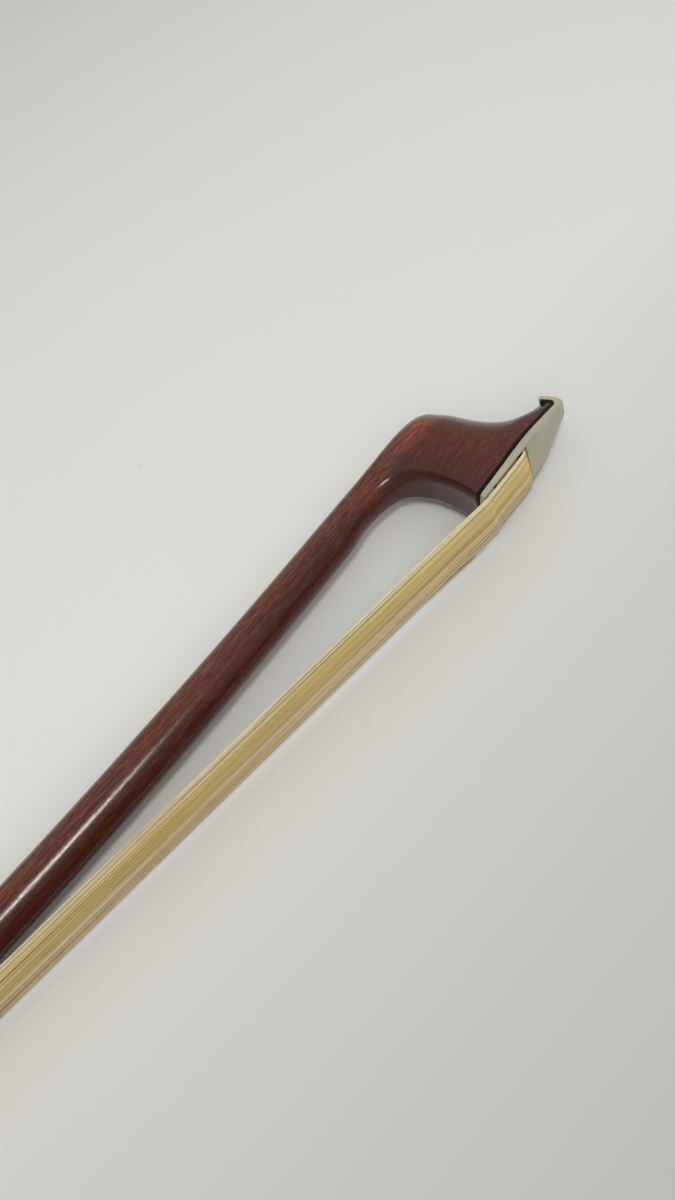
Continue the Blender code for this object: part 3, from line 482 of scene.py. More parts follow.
def rod_x(stops):
    """Round rod along x through (x, radius) stops."""
    turns = turns_of(48)
    rings = []
    for x, r in stops:
        rings.append(np.column_stack((np.full(len(turns), x), r * np.cos(turns), r * np.sin(turns))))
    return tube_parts(rings)


def wire_rings(line, out, side, radius, turns=turns_of(6)):
    """Rings round each point of a line, in the plane of its out and side vectors."""
    radius = np.reshape(radius, (-1, 1, 1))
    c = np.cos(turns)[None, :, None]
    s = np.sin(turns)[None, :, None]
    return line[:, None, :] + radius * (c * out[:, None, :] + s * side[:, None, :])


def cut(obj, cutters):
    """Subtracts closed shapes, given as (points, faces), and keeps the result as plain mesh."""
    for index, (points, faces) in enumerate(cutters):
        tool = mesh_object(f"cutter_{index}", points, faces, EBONY)
        step = obj.modifiers.new("cut", "BOOLEAN")
        step.operation = "DIFFERENCE"
        step.solver = "EXACT"
        step.object = tool
        graph = bpy.context.evaluated_depsgraph_get()
        result = bpy.data.meshes.new_from_object(obj.evaluated_get(graph))
        obj.modifiers.clear()
        result.name = obj.name
        obj.data = result
        bpy.data.objects.remove(tool)


def catmull(rows, steps):
    """Smooth rows between the given ones, each a list of numbers."""
    rows = np.asarray(rows, float)
    padded = np.vstack((2 * rows[0] - rows[1], rows, 2 * rows[-1] - rows[-2]))
    out = []
    for i in range(1, len(rows)):
        a, b, c, d = padded[i - 1], padded[i], padded[i + 1], padded[i + 2]
        for k in range(steps):
            t = k / steps
            out.append(0.5 * (2 * b + (c - a) * t + (2 * a - 5 * b + 4 * c - d) * t * t
                              + (3 * b - a - 3 * c + d) * t ** 3))
    out.append(rows[-1])
    return np.array(out)


def bezier(a, b, c, n):
    t = np.linspace(0.0, 1.0, n + 1)[1:, None]
    return (1 - t) ** 2 * np.array(a) + 2 * t * (1 - t) * np.array(b) + t * t * np.array(c)


def distances(line):
    """Distance along a flat line to each of its points."""
    return np.concatenate(([0.0], np.cumsum(np.hypot(*np.diff(line, axis=0).T))))


# Stick axis

HEAD_SLOPE = math.tan(HEAD_TILT)
HEAD_JOIN = head_to_bow((HEAD_JOIN_X, HEAD_CENTRE, 0.0))[:2]
CAMBER_LOW = HAIR_Y + HAIR_T / 2 + STICK_OVER_HAIR + (SHOULDER_R + NECK_R) / 2
AXIS_STEPS = 2001
CORNER_POWER = 64.0
GRAIN_RUNOUT = 0.09


def camber_pull():
    """Pull of the head on the bent axis that brings its lowest point to CAMBER_LOW."""
    y = CAMBER_LOW * 2
    for _ in range(30):
        y = CAMBER_LOW * ((3 * y - HEAD_JOIN[1]) / (2 * y)) ** 2
    return (HEAD_JOIN[1] - y) / HEAD_SLOPE


def bent_axis():
    """Points of the stick's axis from where it leaves the straight handle to the head."""
    pull = camber_pull()
    a = np.array((CAMBER_START_X, 0.0))
    b = np.array((CAMBER_START_X + CAMBER_PULL_HANDLE, 0.0))
    c = np.array((HEAD_JOIN[0] - pull, HEAD_JOIN[1] - pull * HEAD_SLOPE))
    t = np.linspace(0.0, 1.0, AXIS_STEPS)[:, None]
    u = 1 - t
    return a * u ** 3 + b * 3 * u * u * t + c * 3 * u * t * t + HEAD_JOIN * t ** 3


AXIS = bent_axis()
AXIS_SLOPES = np.gradient(AXIS[:, 1], AXIS[:, 0])


def axis_height(x):
    """Height and slope of the stick axis."""
    x = np.asarray(x, float)
    straight = HEAD_JOIN[1] + (x - HEAD_JOIN[0]) * HEAD_SLOPE
    y = np.where(x > HEAD_JOIN[0], straight, np.interp(x, AXIS[:, 0], AXIS[:, 1]))
    s = np.where(x > HEAD_JOIN[0], HEAD_SLOPE, np.interp(x, AXIS[:, 0], AXIS_SLOPES))
    return np.where(x < CAMBER_START_X, 0.0, y), np.where(x < CAMBER_START_X, 0.0, s)


def stick_radius(x, turn, extra=0.0):
    """Radius of the stick's section, eight-sided with soft corners and then round."""
    stops = (TAPER_X, ROUND_BY_X, HEAD_JOIN[0] - NECK_LENGTH, HEAD_JOIN[0])
    flat = np.interp(x, stops, (HANDLE_FLAT, SHOULDER_R, NECK_R, HEAD_R)) + extra
    roundness = unit((x - ROUND_FROM_X) / (ROUND_BY_X - ROUND_FROM_X))
    total = sum(np.abs(np.cos(turn - k * math.pi / 4)) ** CORNER_POWER for k in range(4))
    return flat * (1 - roundness) / total ** (1 / CORNER_POWER) + flat * roundness


def ring_on_axis(x, radius, turns):
    y, slope = axis_height(x)
    size = np.hypot(1.0, slope)
    c = radius * np.cos(turns)
    return np.column_stack((x - slope / size * c, y + c / size, radius * np.sin(turns)))


def stick_ring(x, extra=0.0):
    turns = turns_of(AROUND)
    return ring_on_axis(x, stick_radius(x, turns, extra), turns)


def flow_of(points):
    """Straightened coordinates of the wood: along the axis, away from the hair and across."""
    y, slope = axis_height(points[:, 0])
    size = np.hypot(1.0, slope)
    off = (points[:, 1] - y) / size
    runout = np.clip(points[:, 0] - HEAD_JOIN[0], 0.0, None) * GRAIN_RUNOUT
    return np.column_stack((points[:, 0] + slope * off, off + runout, points[:, 2]))


# Face of the head

def face_curve(x):
    """Height and slope angle of the face at x from its heel."""
    return FACE_RISE * (x / FACE_LENGTH) ** 2, math.atan(2 * FACE_RISE * x / FACE_LENGTH ** 2)


def face_line(offset, samples=40, bend_samples=14, hook_samples=5, hook=NOSE_HOOK):
    """Points along the face, moved toward the wood by offset, and their distances from the heel."""
    bend_x = FACE_LENGTH - NOSE_BEND_R - NOSE_BEND_START
    bend_y, start = face_curve(bend_x)
    cx = bend_x - NOSE_BEND_R * math.sin(start)
    cy = bend_y + NOSE_BEND_R * math.cos(start)
    rows = [(x, *face_curve(x)) for x in np.linspace(-HEEL_LIP, bend_x, samples, endpoint=False)]
    for a in np.linspace(start, NOSE_BEND_END, bend_samples):
        rows.append((cx + NOSE_BEND_R * math.sin(a), cy - NOSE_BEND_R * math.cos(a), a))
    x, y, a = rows[-1]
    for d in np.linspace(0.0, hook, hook_samples + 1)[1:]:
        rows.append((x + d * math.cos(a), y + d * math.sin(a), a))
    rows = np.array(rows)
    points = np.column_stack((rows[:, 0] - offset * np.sin(rows[:, 2]),
                              rows[:, 1] + offset * np.cos(rows[:, 2])))
    return points, distances(rows[:, :2]) - HEEL_LIP


# Against the distance along the face: its half-width, the thickness of the plate, how
# far in the liner's outer side lies, and how far the long outer edges are rounded
WIDTHS = catmull((
    (-0.8, 3.45), (-0.62, 4.0), (-0.40, 4.55), (-0.15, 5.08), (0.1, 5.19), (1.2, 5.20), (6.1, 5.20),
    (9.5, 5.14), (13.0, 4.90), (16.4, 4.27), (19.9, 3.32), (22.2, 2.62), (23.6, 2.20), (24.8, 1.95),
    (26.0, 1.76), (27.2, 1.62), (28.6, 1.40)), CURVE_STEPS)
THICKS = catmull((
    (-0.8, 0.84), (2.6, 0.92), (6.1, 1.01), (9.5, 1.11), (13.0, 1.22), (16.4, 1.32), (19.9, 1.28),
    (22.6, 1.10), (23.5, 1.10), (23.95, 1.22), (24.35, 1.50), (24.75, 1.32), (25.2, 1.16),
    (25.9, 1.06), (26.8, 1.02), (27.5, 1.00), (27.85, 0.86), (28.1, 0.45)), CURVE_STEPS)
PLATE_OUTSIDE = THICKS * (1.0, -1.0)
PLATE_EDGES = ((9.0, 0.22), (17.0, 0.70), (23.0, 1.05), (26.0, 0.55))
LINER_OUTSIDE = ((0.0, 0.03),)
LINER_EDGES = ((0.0, 0.05),)
LINER_T = 0.80


def along_face(stops, lengths):
    stops = np.array(stops)
    return np.interp(lengths, stops[:, 0], stops[:, 1])


def strip_section(depth, half_width, edge):
    """Section of a strip with its two outer edges rounded, as (depth, across)."""
    r = min(edge, depth * 0.62)
    half = [(0.0, half_width)]
    for k in range(5):
        a = math.pi / 2 * k / 4
        half.append((depth - r + r * math.sin(a), half_width - edge + edge * math.cos(a)))
    half.append((depth, half_width * 0.4))
    other = [(d, -z) for d, z in half[::-1]]
    return half + other + [(0.0, -half_width * 0.4), (0.0, half_width * 0.4)]


def face_strip(name, inner_offset, outer_stops, width_trim, edge_stops, hook, material):
    """Closed strip along the face between an even inner side and an outer side given as stops."""
    inner, lengths = face_line(inner_offset, hook=hook)
    outer = face_line(along_face(outer_stops, lengths), hook=hook)[0]
    half = along_face(WIDTHS, lengths) - width_trim
    rings = []
    for (xi, yi), (xo, yo), w, edge in zip(inner, outer, half, along_face(edge_stops, lengths)):
        span = np.array((xo - xi, yo - yi))
        depth = np.hypot(*span)
        nx, ny = span / max(depth, 1e-9)
        rings.append([(xi + nx * d, yi + ny * d, z) for d, z in strip_section(depth, w, edge)])
    points, faces = tube_parts(rings)
    return mesh_object(name, head_to_bow(points), faces, material, 38.0)


def face_slot(x0, x1, half_heel, half_tip, reach=3.0):
    """Slot through the face that may widen toward the heel."""
    outline = ((x0, -half_heel), (x0, half_heel), (x1, half_tip), (x1, -half_tip))
    points, faces = tube_parts([[(x, y, z) for x, z in outline] for y in (-reach, reach)])
    return head_to_bow(points), faces


# Head of the stick: sections that fan from the round stick down to the face. Each row:
# throat x y, ridge x y, how far it has left the circle, side half-width, half-width of
# the ridge and of the throat's flat, depth of the flat's bevel, hollow
HEAD_ROWS = (
    (-20.0, 17.27, -20.0, 24.75, 0.00, 3.72, 0.60, 1.2, 3.0, 0.0),
    (-16.0, 17.34, -16.0, 24.66, 0.00, 3.70, 0.60, 1.2, 3.0, 0.0),
    (-12.0, 17.85, -11.5, 24.50, 0.00, 3.68, 0.60, 1.2, 3.0, 0.0),
    (-8.6, 17.62, -6.5, 24.46, 0.12, 3.70, 0.60, 1.35, 2.7, 0.0),
    (-6.4, 17.22, -1.5, 24.52, 0.34, 3.80, 0.62, 1.5, 2.1, 0.0),
    (-4.5, 16.85, 3.2, 24.64, 0.62, 3.95, 0.65, 1.75, 1.55, 0.0),
    (-3.0, 16.20, 7.3, 24.62, 0.82, 4.10, 0.70, 1.9, 1.20, 0.0),
    (-1.95, 15.20, 10.3, 24.28, 0.93, 4.25, 0.70, 2.05, 1.10, 0.0),
    (-1.2, 14.05, 12.4, 23.62, 0.98, 4.38, 0.70, 2.25, 0.95, 0.0),
    (-0.55, 12.70, 13.7, 22.46, 1.0, 4.50, 0.68, 2.45, 0.80, 0.0),
    (-0.1, 11.30, 14.55, 20.50, 1.0, 4.62, 0.62, 2.6, 0.70, 0.0),
    (0.1, 9.60, 15.3, 18.10, 1.0, 4.75, 0.60, 2.8, 0.66, 0.0),
    (0.17, 7.90, 15.75, 15.40, 1.0, 4.86, 0.58, 3.0, 0.65, 0.0),
    (0.15, 6.30, 16.3, 12.50, 1.0, 4.96, 0.58, 3.1, 0.65, 0.0),
    (0.02, 4.80, 17.25, 9.60, 1.0, 5.05, 0.60, 3.2, 0.65, 0.10),
    (-0.18, 3.40, 18.9, 6.90, 1.0, 5.12, 0.66, 3.3, 0.65, 0.22),
    (-0.38, 2.20, 21.4, 4.85, 1.0, 5.17, 0.80, 3.4, 0.65, 0.34),
)
RIDGE = np.array(HEAD_ROWS)[:, 2:4]

# Half section of a head row: its points, softness of the flat's edge and of the
# bevel's upper edge, how late the side draws in to the ridge, least corner there
HALF = AROUND // 2
FLAT_POINTS = 6
SIDE_POINTS = 25
FLAT_SOFT = 0.22
BEVEL_SOFT = 0.46
SIDE_POWER = 4.8
RIDGE_CORNER = 0.35

# Foot of the wood: depth of its seat, hook, widths and bevel as in a head row, how
# far it stays inside the face's width, and the length of its rounded tip
SEAT_DEPTH = 0.82
FOOT_HOOK = 1.25
FOOT_SECTION = (5.17, 0.8, 3.4, 0.60)
FOOT_INSET = 0.02
FOOT_TIP = 0.6


def head_outline(length, side_w, ridge_w, flat_w, bevel):
    """Half of a head section from the throat's middle to the ridge, as (distance, half-width)."""
    slant = np.array((bevel, side_w - flat_w))
    slant /= np.hypot(*slant)
    p1 = np.array((0.0, flat_w))
    p2 = np.array((bevel, side_w))
    flat = np.column_stack((np.zeros(FLAT_POINTS), np.linspace(0.0, flat_w - FLAT_SOFT, FLAT_POINTS)))
    lower = bezier(p1 - (0.0, FLAT_SOFT), p1, p1 + slant * FLAT_SOFT, 3)
    upper = bezier(p2 - slant * BEVEL_SOFT, p2, p2 + (BEVEL_SOFT, 0.0), 6)
    s = np.linspace(0.02, 1.0, SIDE_POINTS) ** 0.9
    v = bevel + BEVEL_SOFT + 0.05 + (length - 0.60 - bevel - BEVEL_SOFT) * s
    w = side_w - (side_w - ridge_w - RIDGE_CORNER) * s ** SIDE_POWER
    side = np.column_stack((v, w))
    last = side[-1]
    lean = (last - side[-2]) / np.hypot(*(last - side[-2]))
    corner = last + lean * (length - last[0]) / max(lean[0], 0.2)
    corner_w = max(corner[1], RIDGE_CORNER)
    rows = [flat, lower, upper, side]
    count = HALF + 1 - sum(len(r) for r in rows)
    rows.append(bezier(last, (length, corner_w), (length, 0.0), count))
    return np.vstack(rows)


def head_ring(row):
    tx, ty, rx, ry, leave, side_w, ridge_w, flat_w, bevel, hollow = row
    length = math.hypot(rx - tx, ry - ty)
    half = head_outline(length, side_w, ridge_w, flat_w, bevel)
    turn = math.pi * np.arange(HALF + 1) / HALF
    round_v = (1 - np.cos(turn)) / 2 * length
    round_w = side_w * np.sin(turn)
    v = round_v + (half[:, 0] - round_v) * leave
    w = round_w + (half[:, 1] - round_w) * leave
    share = v / length
    dip = hollow * 4 * share * (1 - share)
    ex, ey = (rx - tx) / length, (ry - ty) / length
    x = tx + ex * v + ey * dip
    y = ty + ey * v - ex * dip
    return mirror_ring(x, y, w)


def mirror_ring(x, y, w):
    """Full ring that starts at the ridge, goes down the +z side and comes back."""
    half = np.column_stack((x, y, w))[::-1]
    back = half[1:-1][::-1] * (1.0, 1.0, -1.0)
    return np.vstack((half, back))


def foot_ring():
    """Lowest ring of the wood, along the liner and up inside the nose."""
    line, lengths = face_line(SEAT_DEPTH, samples=80, bend_samples=24, hook_samples=8, hook=FOOT_HOOK)
    reach = lengths[-1]
    half = head_outline(reach + HEEL_LIP, *FOOT_SECTION)
    at = half[:, 0] - HEEL_LIP
    x = np.interp(at, lengths, line[:, 0])
    y = np.interp(at, lengths, line[:, 1])
    most = along_face(WIDTHS, at) - FOOT_INSET
    w = np.where(at > 1.5, most, np.minimum(half[:, 1], most))
    tip = at > reach - FOOT_TIP
    w[tip] *= np.sqrt(unit((reach - at[tip]) / FOOT_TIP))
    w[[0, -1]] = 0.0
    return mirror_ring(x, y, w)


def stick_stations():
    """Places along x of the stick's rings, closer together where its section changes."""
    return np.concatenate((
        np.linspace(BUTT_X + 0.25, TAPER_X, 14),
        np.linspace(TAPER_X, ROUND_FROM_X, 12)[1:],
        np.linspace(ROUND_FROM_X, ROUND_BY_X, 14)[1:],
        np.linspace(ROUND_BY_X, HEAD_JOIN[0] - 4.5, 150)[1:],
    ))


def stick_rings():
    """Rings of the wood from the nipple at its butt to the foot under the head."""
    turns = turns_of(AROUND)
    nipple = ((NIPPLE_X, NIPPLE_END_R), (NIPPLE_X + 0.2, NIPPLE_R), (BUTT_X, NIPPLE_R))
    rings = [ring_on_axis(x, np.full(AROUND, r), turns) for x, r in nipple]
    rings.append(stick_ring(BUTT_X, -BUTT_EDGE))
    rings += [stick_ring(x) for x in stick_stations()]
    rings += [head_to_bow(head_ring(row)) for row in catmull(HEAD_ROWS, CURVE_STEPS)[3:]]
    last = rings[-1]
    foot = head_to_bow(foot_ring())
    rings += [last + (foot - last) * share for share in (0.25, 0.5, 0.75, 0.92, 1.0)]
    return rings


def stick_faces(rows):
    """Faces of the wood: one closes the butt, and strips across it close the foot."""
    faces = grid_faces(rows, AROUND)
    faces.append(tuple(range(AROUND)))
    base = (rows - 1) * AROUND
    for k in range(HALF):
        a, b = base + k, base + k + 1
        c, d = base + (AROUND - k - 1) % AROUND, base + (AROUND - k) % AROUND
        quad = tuple(dict.fromkeys((a, b, c, d)))
        if len(quad) > 2:
            faces.append(quad)
    return faces


def stick_cuts():
    """Bore for the screw, slot for the eyelet and mortise for the head's hair."""
    bore = rod_x(((NIPPLE_X - 1.0, BORE_R), (BORE_STEP_X, BORE_R), (BORE_STEP_X + 0.01, TIP_BORE_R),
                  (BORE_END_X, TIP_BORE_R)))
    start, end, half_width = MORTISE[:3]
    points, faces = block(start, end, -2.0, MORTISE_DEPTH, half_width)
    return bore, block(*EYELET_SLOT), (head_to_bow(points), faces)


def paint_stick(obj):
    """Where the finish shows flecks in the throat, painted light on the sides, a dark ridge and painted shade
    in the throat.
    """
    at = bow_points(obj)
    store(obj, "flow", flow_of(at))
    x, y = bow_to_head(at)
    store(obj, "fleck", np.exp(-((x + 6.5) / 3.6) ** 2 - ((y - 18.2) / 1.7) ** 2))
    # Painted light on the head's sides
    store(obj, "side", unit((x - 1.0) / 6.0) * unit((np.abs(at[:, 2]) - 2.5) / 1.5))
    ridge = np.interp(x, RIDGE[:, 0], RIDGE[:, 1])
    store(obj, "rim", unit(1.0 - (ridge - y) / 4.5) * unit((x + 9.0) / 5.0))
    # Painted shade and reflection in the throat and its bevel
    store(obj, "shade", unit((18.9 - y) / 1.2) * unit((1.4 - x) / 0.8) * unit((x + 14.0) / 8.0))


def make_stick():
    rings = stick_rings()
    obj = mesh_object("stick_wood", np.vstack(rings), stick_faces(len(rings)), WOOD, 30.0)
    cut(obj, stick_cuts())
    smooth(obj.data, 30.0)
    paint_stick(obj)
    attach(obj, "stick_body")
    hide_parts("stick")


def make_face():
    """Liner and face plate, both with their slot for the hair."""
    liner = face_strip("liner", LINER_T, LINER_OUTSIDE, 0.01, LINER_EDGES, NOSE_HOOK - 0.45, LINER)
    plate = face_strip("face_plate", 0.0, PLATE_OUTSIDE, 0.0, PLATE_EDGES, NOSE_HOOK + 0.15, BONE)
    for piece, slot in ((liner, MORTISE), (plate, PLATE_SLOT)):
        cut(piece, (face_slot(*slot),))
        smooth(piece.data, 38.0)
    at = bow_points(plate)
    x, y = bow_to_head(at)
    store(plate, "flow", at - (HEAD_X, HEAD_Y, 0.0))
    store(plate, "warm", unit((y - 0.6) / 2.0) * unit((x - 20.0) / 3.0) * 0.8)
    for piece, node, slot in ((liner, "head_liner", "ebony"), (plate, "head_plate", "bone")):
        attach(piece, "stick_body")
        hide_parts(node)


make_stick()
make_face()


# Hair: strands on one path from the frog's mortise to the head's

STRANDS = 250
STRAND_R = (0.085, 0.115)
STRAND_SPREAD = 0.72
VISIBLE_LIFT = 0.25
FROG_HAIR_X = 32.4
SLOT_Y = -20.7
OUTSIDE_PLATE = -THICKS[0, 1] - 0.30
WAVE_LENGTHS = (90.0, 420.0)
WAVE_ACROSS = 0.018
WAVE_DEPTH = 0.20

# Swelling of the band toward the plate's slot: distance from where it turns in and
# share of the full swelling, and the same share against the place across the band
BULGE = 0.42
BULGE_ALONG = ((-11.0, 0.0), (-7.0, 0.35), (-3.5, 1.0), (0.0, 0.60), (1.2, 0.0))
BULGE_ACROSS = ((-1.0, 0.62), (-0.8, 0.95), (-0.3, 1.0), (0.4, 0.45), (1.0, 0.0))

# Hairs that have left the band: x from and to, place across at both, depth, tone, darkness
LOOSE_R = 0.075
LOOSE_HAIRS = (
    (610.0, 652.0, 0.99, 1.045, -1.0, 0.4, 0.85),
    (664.0, 690.0, 0.985, 1.03, -1.2, 0.8, 0.25),
    (705.0, 717.6, -0.97, -1.12, -1.8, 0.2, 0.55),
    (708.0, 716.4, -0.96, -1.17, -1.2, 0.2, 0.75),
    (700.0, 715.2, -0.98, -1.09, -2.2, 0.3, 0.30),
    (540.0, 570.0, -0.98, -1.05, -1.0, 0.5, 0.40),
)


def hair_path():
    """Rows of (x, y, half-width, half-thickness) along the middle of the band."""
    rows = [(FROG_HAIR_X, -15.9, 3.6, 0.28), (FROG_HAIR_X, -18.6, 3.6, 0.28),
            (FROG_HAIR_X + 0.35, -20.0, 3.6, 0.27), (FROG_HAIR_X + 1.6, SLOT_Y, 3.65, 0.25),
            (40.0, SLOT_Y, 4.1, 0.25), (57.0, SLOT_Y, 4.8, 0.26), (61.0, -21.25, 4.9, 0.27),
            (64.0, HAIR_Y + 0.02, 5.0, 0.27), (FERRULE[1], HAIR_Y, 5.2, 0.27)]
    for share in (0.01, 0.03, 0.1, 0.2, 0.3, 0.4, 0.5, 0.6, 0.7, 0.8, 0.88, 0.94, 0.98):
        lift = VISIBLE_LIFT * min(1.0, share / 0.2)
        rows.append((FERRULE[1] + FREE_HAIR * share, HAIR_Y + lift, 5.2 - 0.45 * share, 0.28))
    y0 = OUTSIDE_PLATE
    for x, y, w in ((-1.2, y0, 4.72), (1.0, y0 - 0.02, 4.50), (4.0, y0 - 0.04, 4.38),
                    (7.0, y0 - 0.06, 4.34), (9.2, y0 - 0.06, 4.30), (10.6, y0 + 0.04, 4.22),
                    (11.4, y0 + 0.45, 4.12), (11.75, y0 + 1.25, 3.90), (11.80, y0 + 2.2, 3.75),
                    (11.80, 3.6, 3.65), (11.74, 5.0, 3.5)):
        place = head_to_bow((x, y, 0.0))
        rows.append((place[0], place[1], w, 0.26))
    return np.array(rows)


def dense_path(least_step=0.12):
    """Smooth path of the band without points that crowd together."""
    rows = catmull(hair_path(), 5)
    keep = [0]
    for i in range(1, len(rows)):
        step = np.hypot(*(rows[i, :2] - rows[keep[-1], :2]))
        if step > least_step or i == len(rows) - 1:
            keep.append(i)
    return rows[keep]


def strand(path, normal, across, depth, radius):
    """Tube along the hair's path, offset across the band and through its thickness."""
    aside = normal * depth[:, None] * path[:, 3:] * STRAND_SPREAD
    centre = np.column_stack((path[:, :2] + aside, across * path[:, 2]))
    turns = turns_of(5) + rng.uniform(0, 6.28)
    lift = np.column_stack((normal, np.zeros(len(path))))
    return wire_rings(centre, lift, np.array([(0.0, 0.0, 1.0)]), radius, turns)


class Hairs:
    """Strands gathered for one mesh, with the values that their finish reads."""

    def __init__(self):
        self.rows = ([], [], [], [], [])
        self.faces = []
        self.count = 0

    def add(self, ring, reach, tone, across, stray):
        points, faces = tube_parts(ring, first=self.count)
        self.count += len(points)
        self.faces.extend(faces)
        along = np.repeat(reach, ring.shape[1]) + rng.uniform(0, 50.0)
        even = np.ones(len(points))
        flow = np.column_stack((along, even * (self.count * 0.37), even * 0.0))
        for rows, made in zip(self.rows, (points, flow, even * tone, even * across, even * stray)):
            rows.append(made)

    def build(self):
        points, flow, *others = self.rows
        obj = mesh_object("hair_strands", np.vstack(points), self.faces, HAIR, 80.0)
        store(obj, "flow", np.vstack(flow))
        for name, rows in zip(("tone", "across", "stray"), others):
            store(obj, name, np.concatenate(rows))
        return obj


def add_band(hairs, path, normal, along, exit_at):
    """Strands side by side that wander a little and swell toward the plate's slot."""
    stops, shares = np.transpose(BULGE_ALONG)
    bulge = BULGE * np.interp(along, exit_at + stops, shares)
    inside = unit(np.minimum(along, along[-1] - along) / 30.0)
    places = np.linspace(-1.0, 1.0, STRANDS) + rng.uniform(-0.5, 0.5, STRANDS) / STRANDS
    depths = rng.uniform(-1.0, 1.0, STRANDS)
    for place, depth in zip(places, depths):
        across = np.full(len(along), place)
        level = np.full(len(along), depth)
        for _ in range(4):
            wave = 2 * math.pi * along / rng.uniform(*WAVE_LENGTHS) + rng.uniform(0, 6.28)
            across += rng.normal(0.0, WAVE_ACROSS) * np.sin(wave) * inside
            level += rng.normal(0.0, WAVE_DEPTH) * np.sin(wave * 1.3 + 1.0) * inside
        across = np.clip(across, -1.02, 1.02)
        level = np.clip(level, -1.0, 1.0) * np.sqrt(np.clip(1.0 - np.abs(across) ** 5 * 0.8, 0.05, 1.0))
        dome = bulge * np.interp(place, *np.transpose(BULGE_ACROSS)) / (path[:, 3] * STRAND_SPREAD)
        ring = strand(path, normal, across, level - dome, rng.uniform(*STRAND_R))
        hairs.add(ring, along, rng.uniform(), place * 0.5 + 0.5 + rng.normal(0.0, 0.02), 0.0)


def add_loose(hairs, path, normal, before_exit, hair):
    """One hair that has left the band between two places along the bow."""
    x0, x1, across0, across1, depth, tone, stray = hair
    chosen = (path[:, 0] > x0) & (path[:, 0] < x1) & before_exit
    x = path[chosen, 0]
    fine = np.linspace(x[0], x[-1], 40)
    rows = np.column_stack([fine] + [np.interp(fine, x, path[chosen, k]) for k in (1, 2, 3)])
    up = np.column_stack([np.interp(fine, x, normal[chosen, k]) for k in (0, 1)])
    share = (fine - x0) / (x1 - x0)
    across = across0 + (across1 - across0) * share ** 2
    radius = LOOSE_R * np.sqrt(np.clip(1.05 - share, 0.05, 1.0))
    hairs.add(strand(rows, up, across, depth * (0.4 + share), radius), fine, tone, 0.5, stray)


def make_hair():
    path = dense_path()
    ahead = np.gradient(path[:, :2], axis=0)
    ahead /= np.hypot(ahead[:, 0], ahead[:, 1])[:, None]
    normal = np.column_stack((-ahead[:, 1], ahead[:, 0]))
    along = distances(path[:, :2])
    exit_at = along[np.argmax(path[:, 0])]
    hairs = Hairs()
    add_band(hairs, path, normal, along, exit_at)
    for hair in LOOSE_HAIRS:
        add_loose(hairs, path, normal, along < exit_at, hair)
    obj = hairs.build()
    start = to_frame(head_to_bow((-3.0, -1.2, 0.0)))[0]
    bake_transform(obj)
    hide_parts("hair")


make_hair()


# Grip: the leather's gap under it, skin at its edge and what full skin adds; its edge as
# (distance from the end, share of the full skin); the wire's radius and gap
LEATHER_GAP = 0.03
SKIN_EDGE = 0.12
SKIN_FULL = 0.86
LEATHER_EDGE = ((0.0, 0.25), (0.04, 0.55), (0.15, 0.80), (0.4, 0.94))
WIRE_R = 0.165
WIRE_GAP = 0.03


def leather_stations():
    """Places along x with their share of the full skin."""
    x0, x1 = LEATHER
    rows = [(x0 + d, t) for d, t in LEATHER_EDGE]
    rows += [(x, 1.0) for x in np.linspace(x0 + 1.0, x1 - 1.0, 22)]
    return rows + [(x1 - d, t) for d, t in LEATHER_EDGE[::-1]]


def make_leather():
    turns = turns_of(AROUND)
    groove = np.exp(-(((turns - math.pi + 0.25) / 0.10) ** 2)) * -0.16
    seam = groove + (np.abs(turns - math.pi + 0.05) < 0.22) * 0.10
    rows = leather_stations()
    loop = []
    for x, t in rows:
        swell = 0.04 * math.sin(x * 1.9) + 0.03 * math.sin(x * 4.1 + 1.0)
        radius = stick_radius(x, turns, SKIN_EDGE + SKIN_FULL * t + swell * t) + seam * t
        blunt = 0.35 * stick_radius(x, np.zeros(1), SKIN_EDGE + SKIN_FULL * t) + 0.65 * radius
        loop.append(ring_on_axis(x, blunt, turns))
    loop += [stick_ring(x, LEATHER_GAP) for x, _ in rows[::-1]]
    faces = grid_faces(len(loop), AROUND, closed_rows=True)
    obj = mesh_object("thumb_grip", np.vstack(loop), faces, LEATHER_SKIN, 60.0)
    store(obj, "flow", bow_points(obj))
    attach(obj, "stick_body")
    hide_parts("thumb_leather")


def make_winding():
    """One wire coiled tightly on the eight-sided handle."""
    per_turn = 24
    pitch = 2 * WIRE_R
    x0, x1 = WINDING
    steps = np.arange(int((x1 - x0 - 2 * WIRE_R) / pitch * per_turn) + 1)
    turn = 2 * math.pi * steps / per_turn
    x = x0 + WIRE_R + steps / per_turn * pitch
    radius = np.array([stick_radius(at, np.array([a]), WIRE_R + WIRE_GAP)[0] for at, a in zip(x, turn)])
    y, slope = axis_height(x)
    centre = np.column_stack((x - slope * radius * np.cos(turn), y + radius * np.cos(turn),
                              radius * np.sin(turn)))
    out = np.column_stack((np.zeros(len(steps)), np.cos(turn), np.sin(turn)))
    points, faces = tube_parts(wire_rings(centre, out, np.array([(1.0, 0.0, 0.0)]), WIRE_R))
    obj = mesh_object("wire_winding", points, faces, SILVER, 80.0)
    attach(obj, "stick_body")
    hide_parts("winding")


make_leather()
make_winding()


# Bound ends of the hair: the thread's radius, turns and points in a turn; the hair's
# body inside, as distance from each end and share of the full width, and its middle
THREAD_R = 0.22
THREAD_TURNS = 15
THREAD_STEPS = 28
BODY_ENDS = ((0.1, 0.6), (0.5, 0.86))
BODY_WIDTH = 0.9


def squared(wave):
    """Cosine or sine with its ends blunted, which turns a circle into a rounded block."""
    return np.sign(wave) * np.abs(wave) ** 0.6


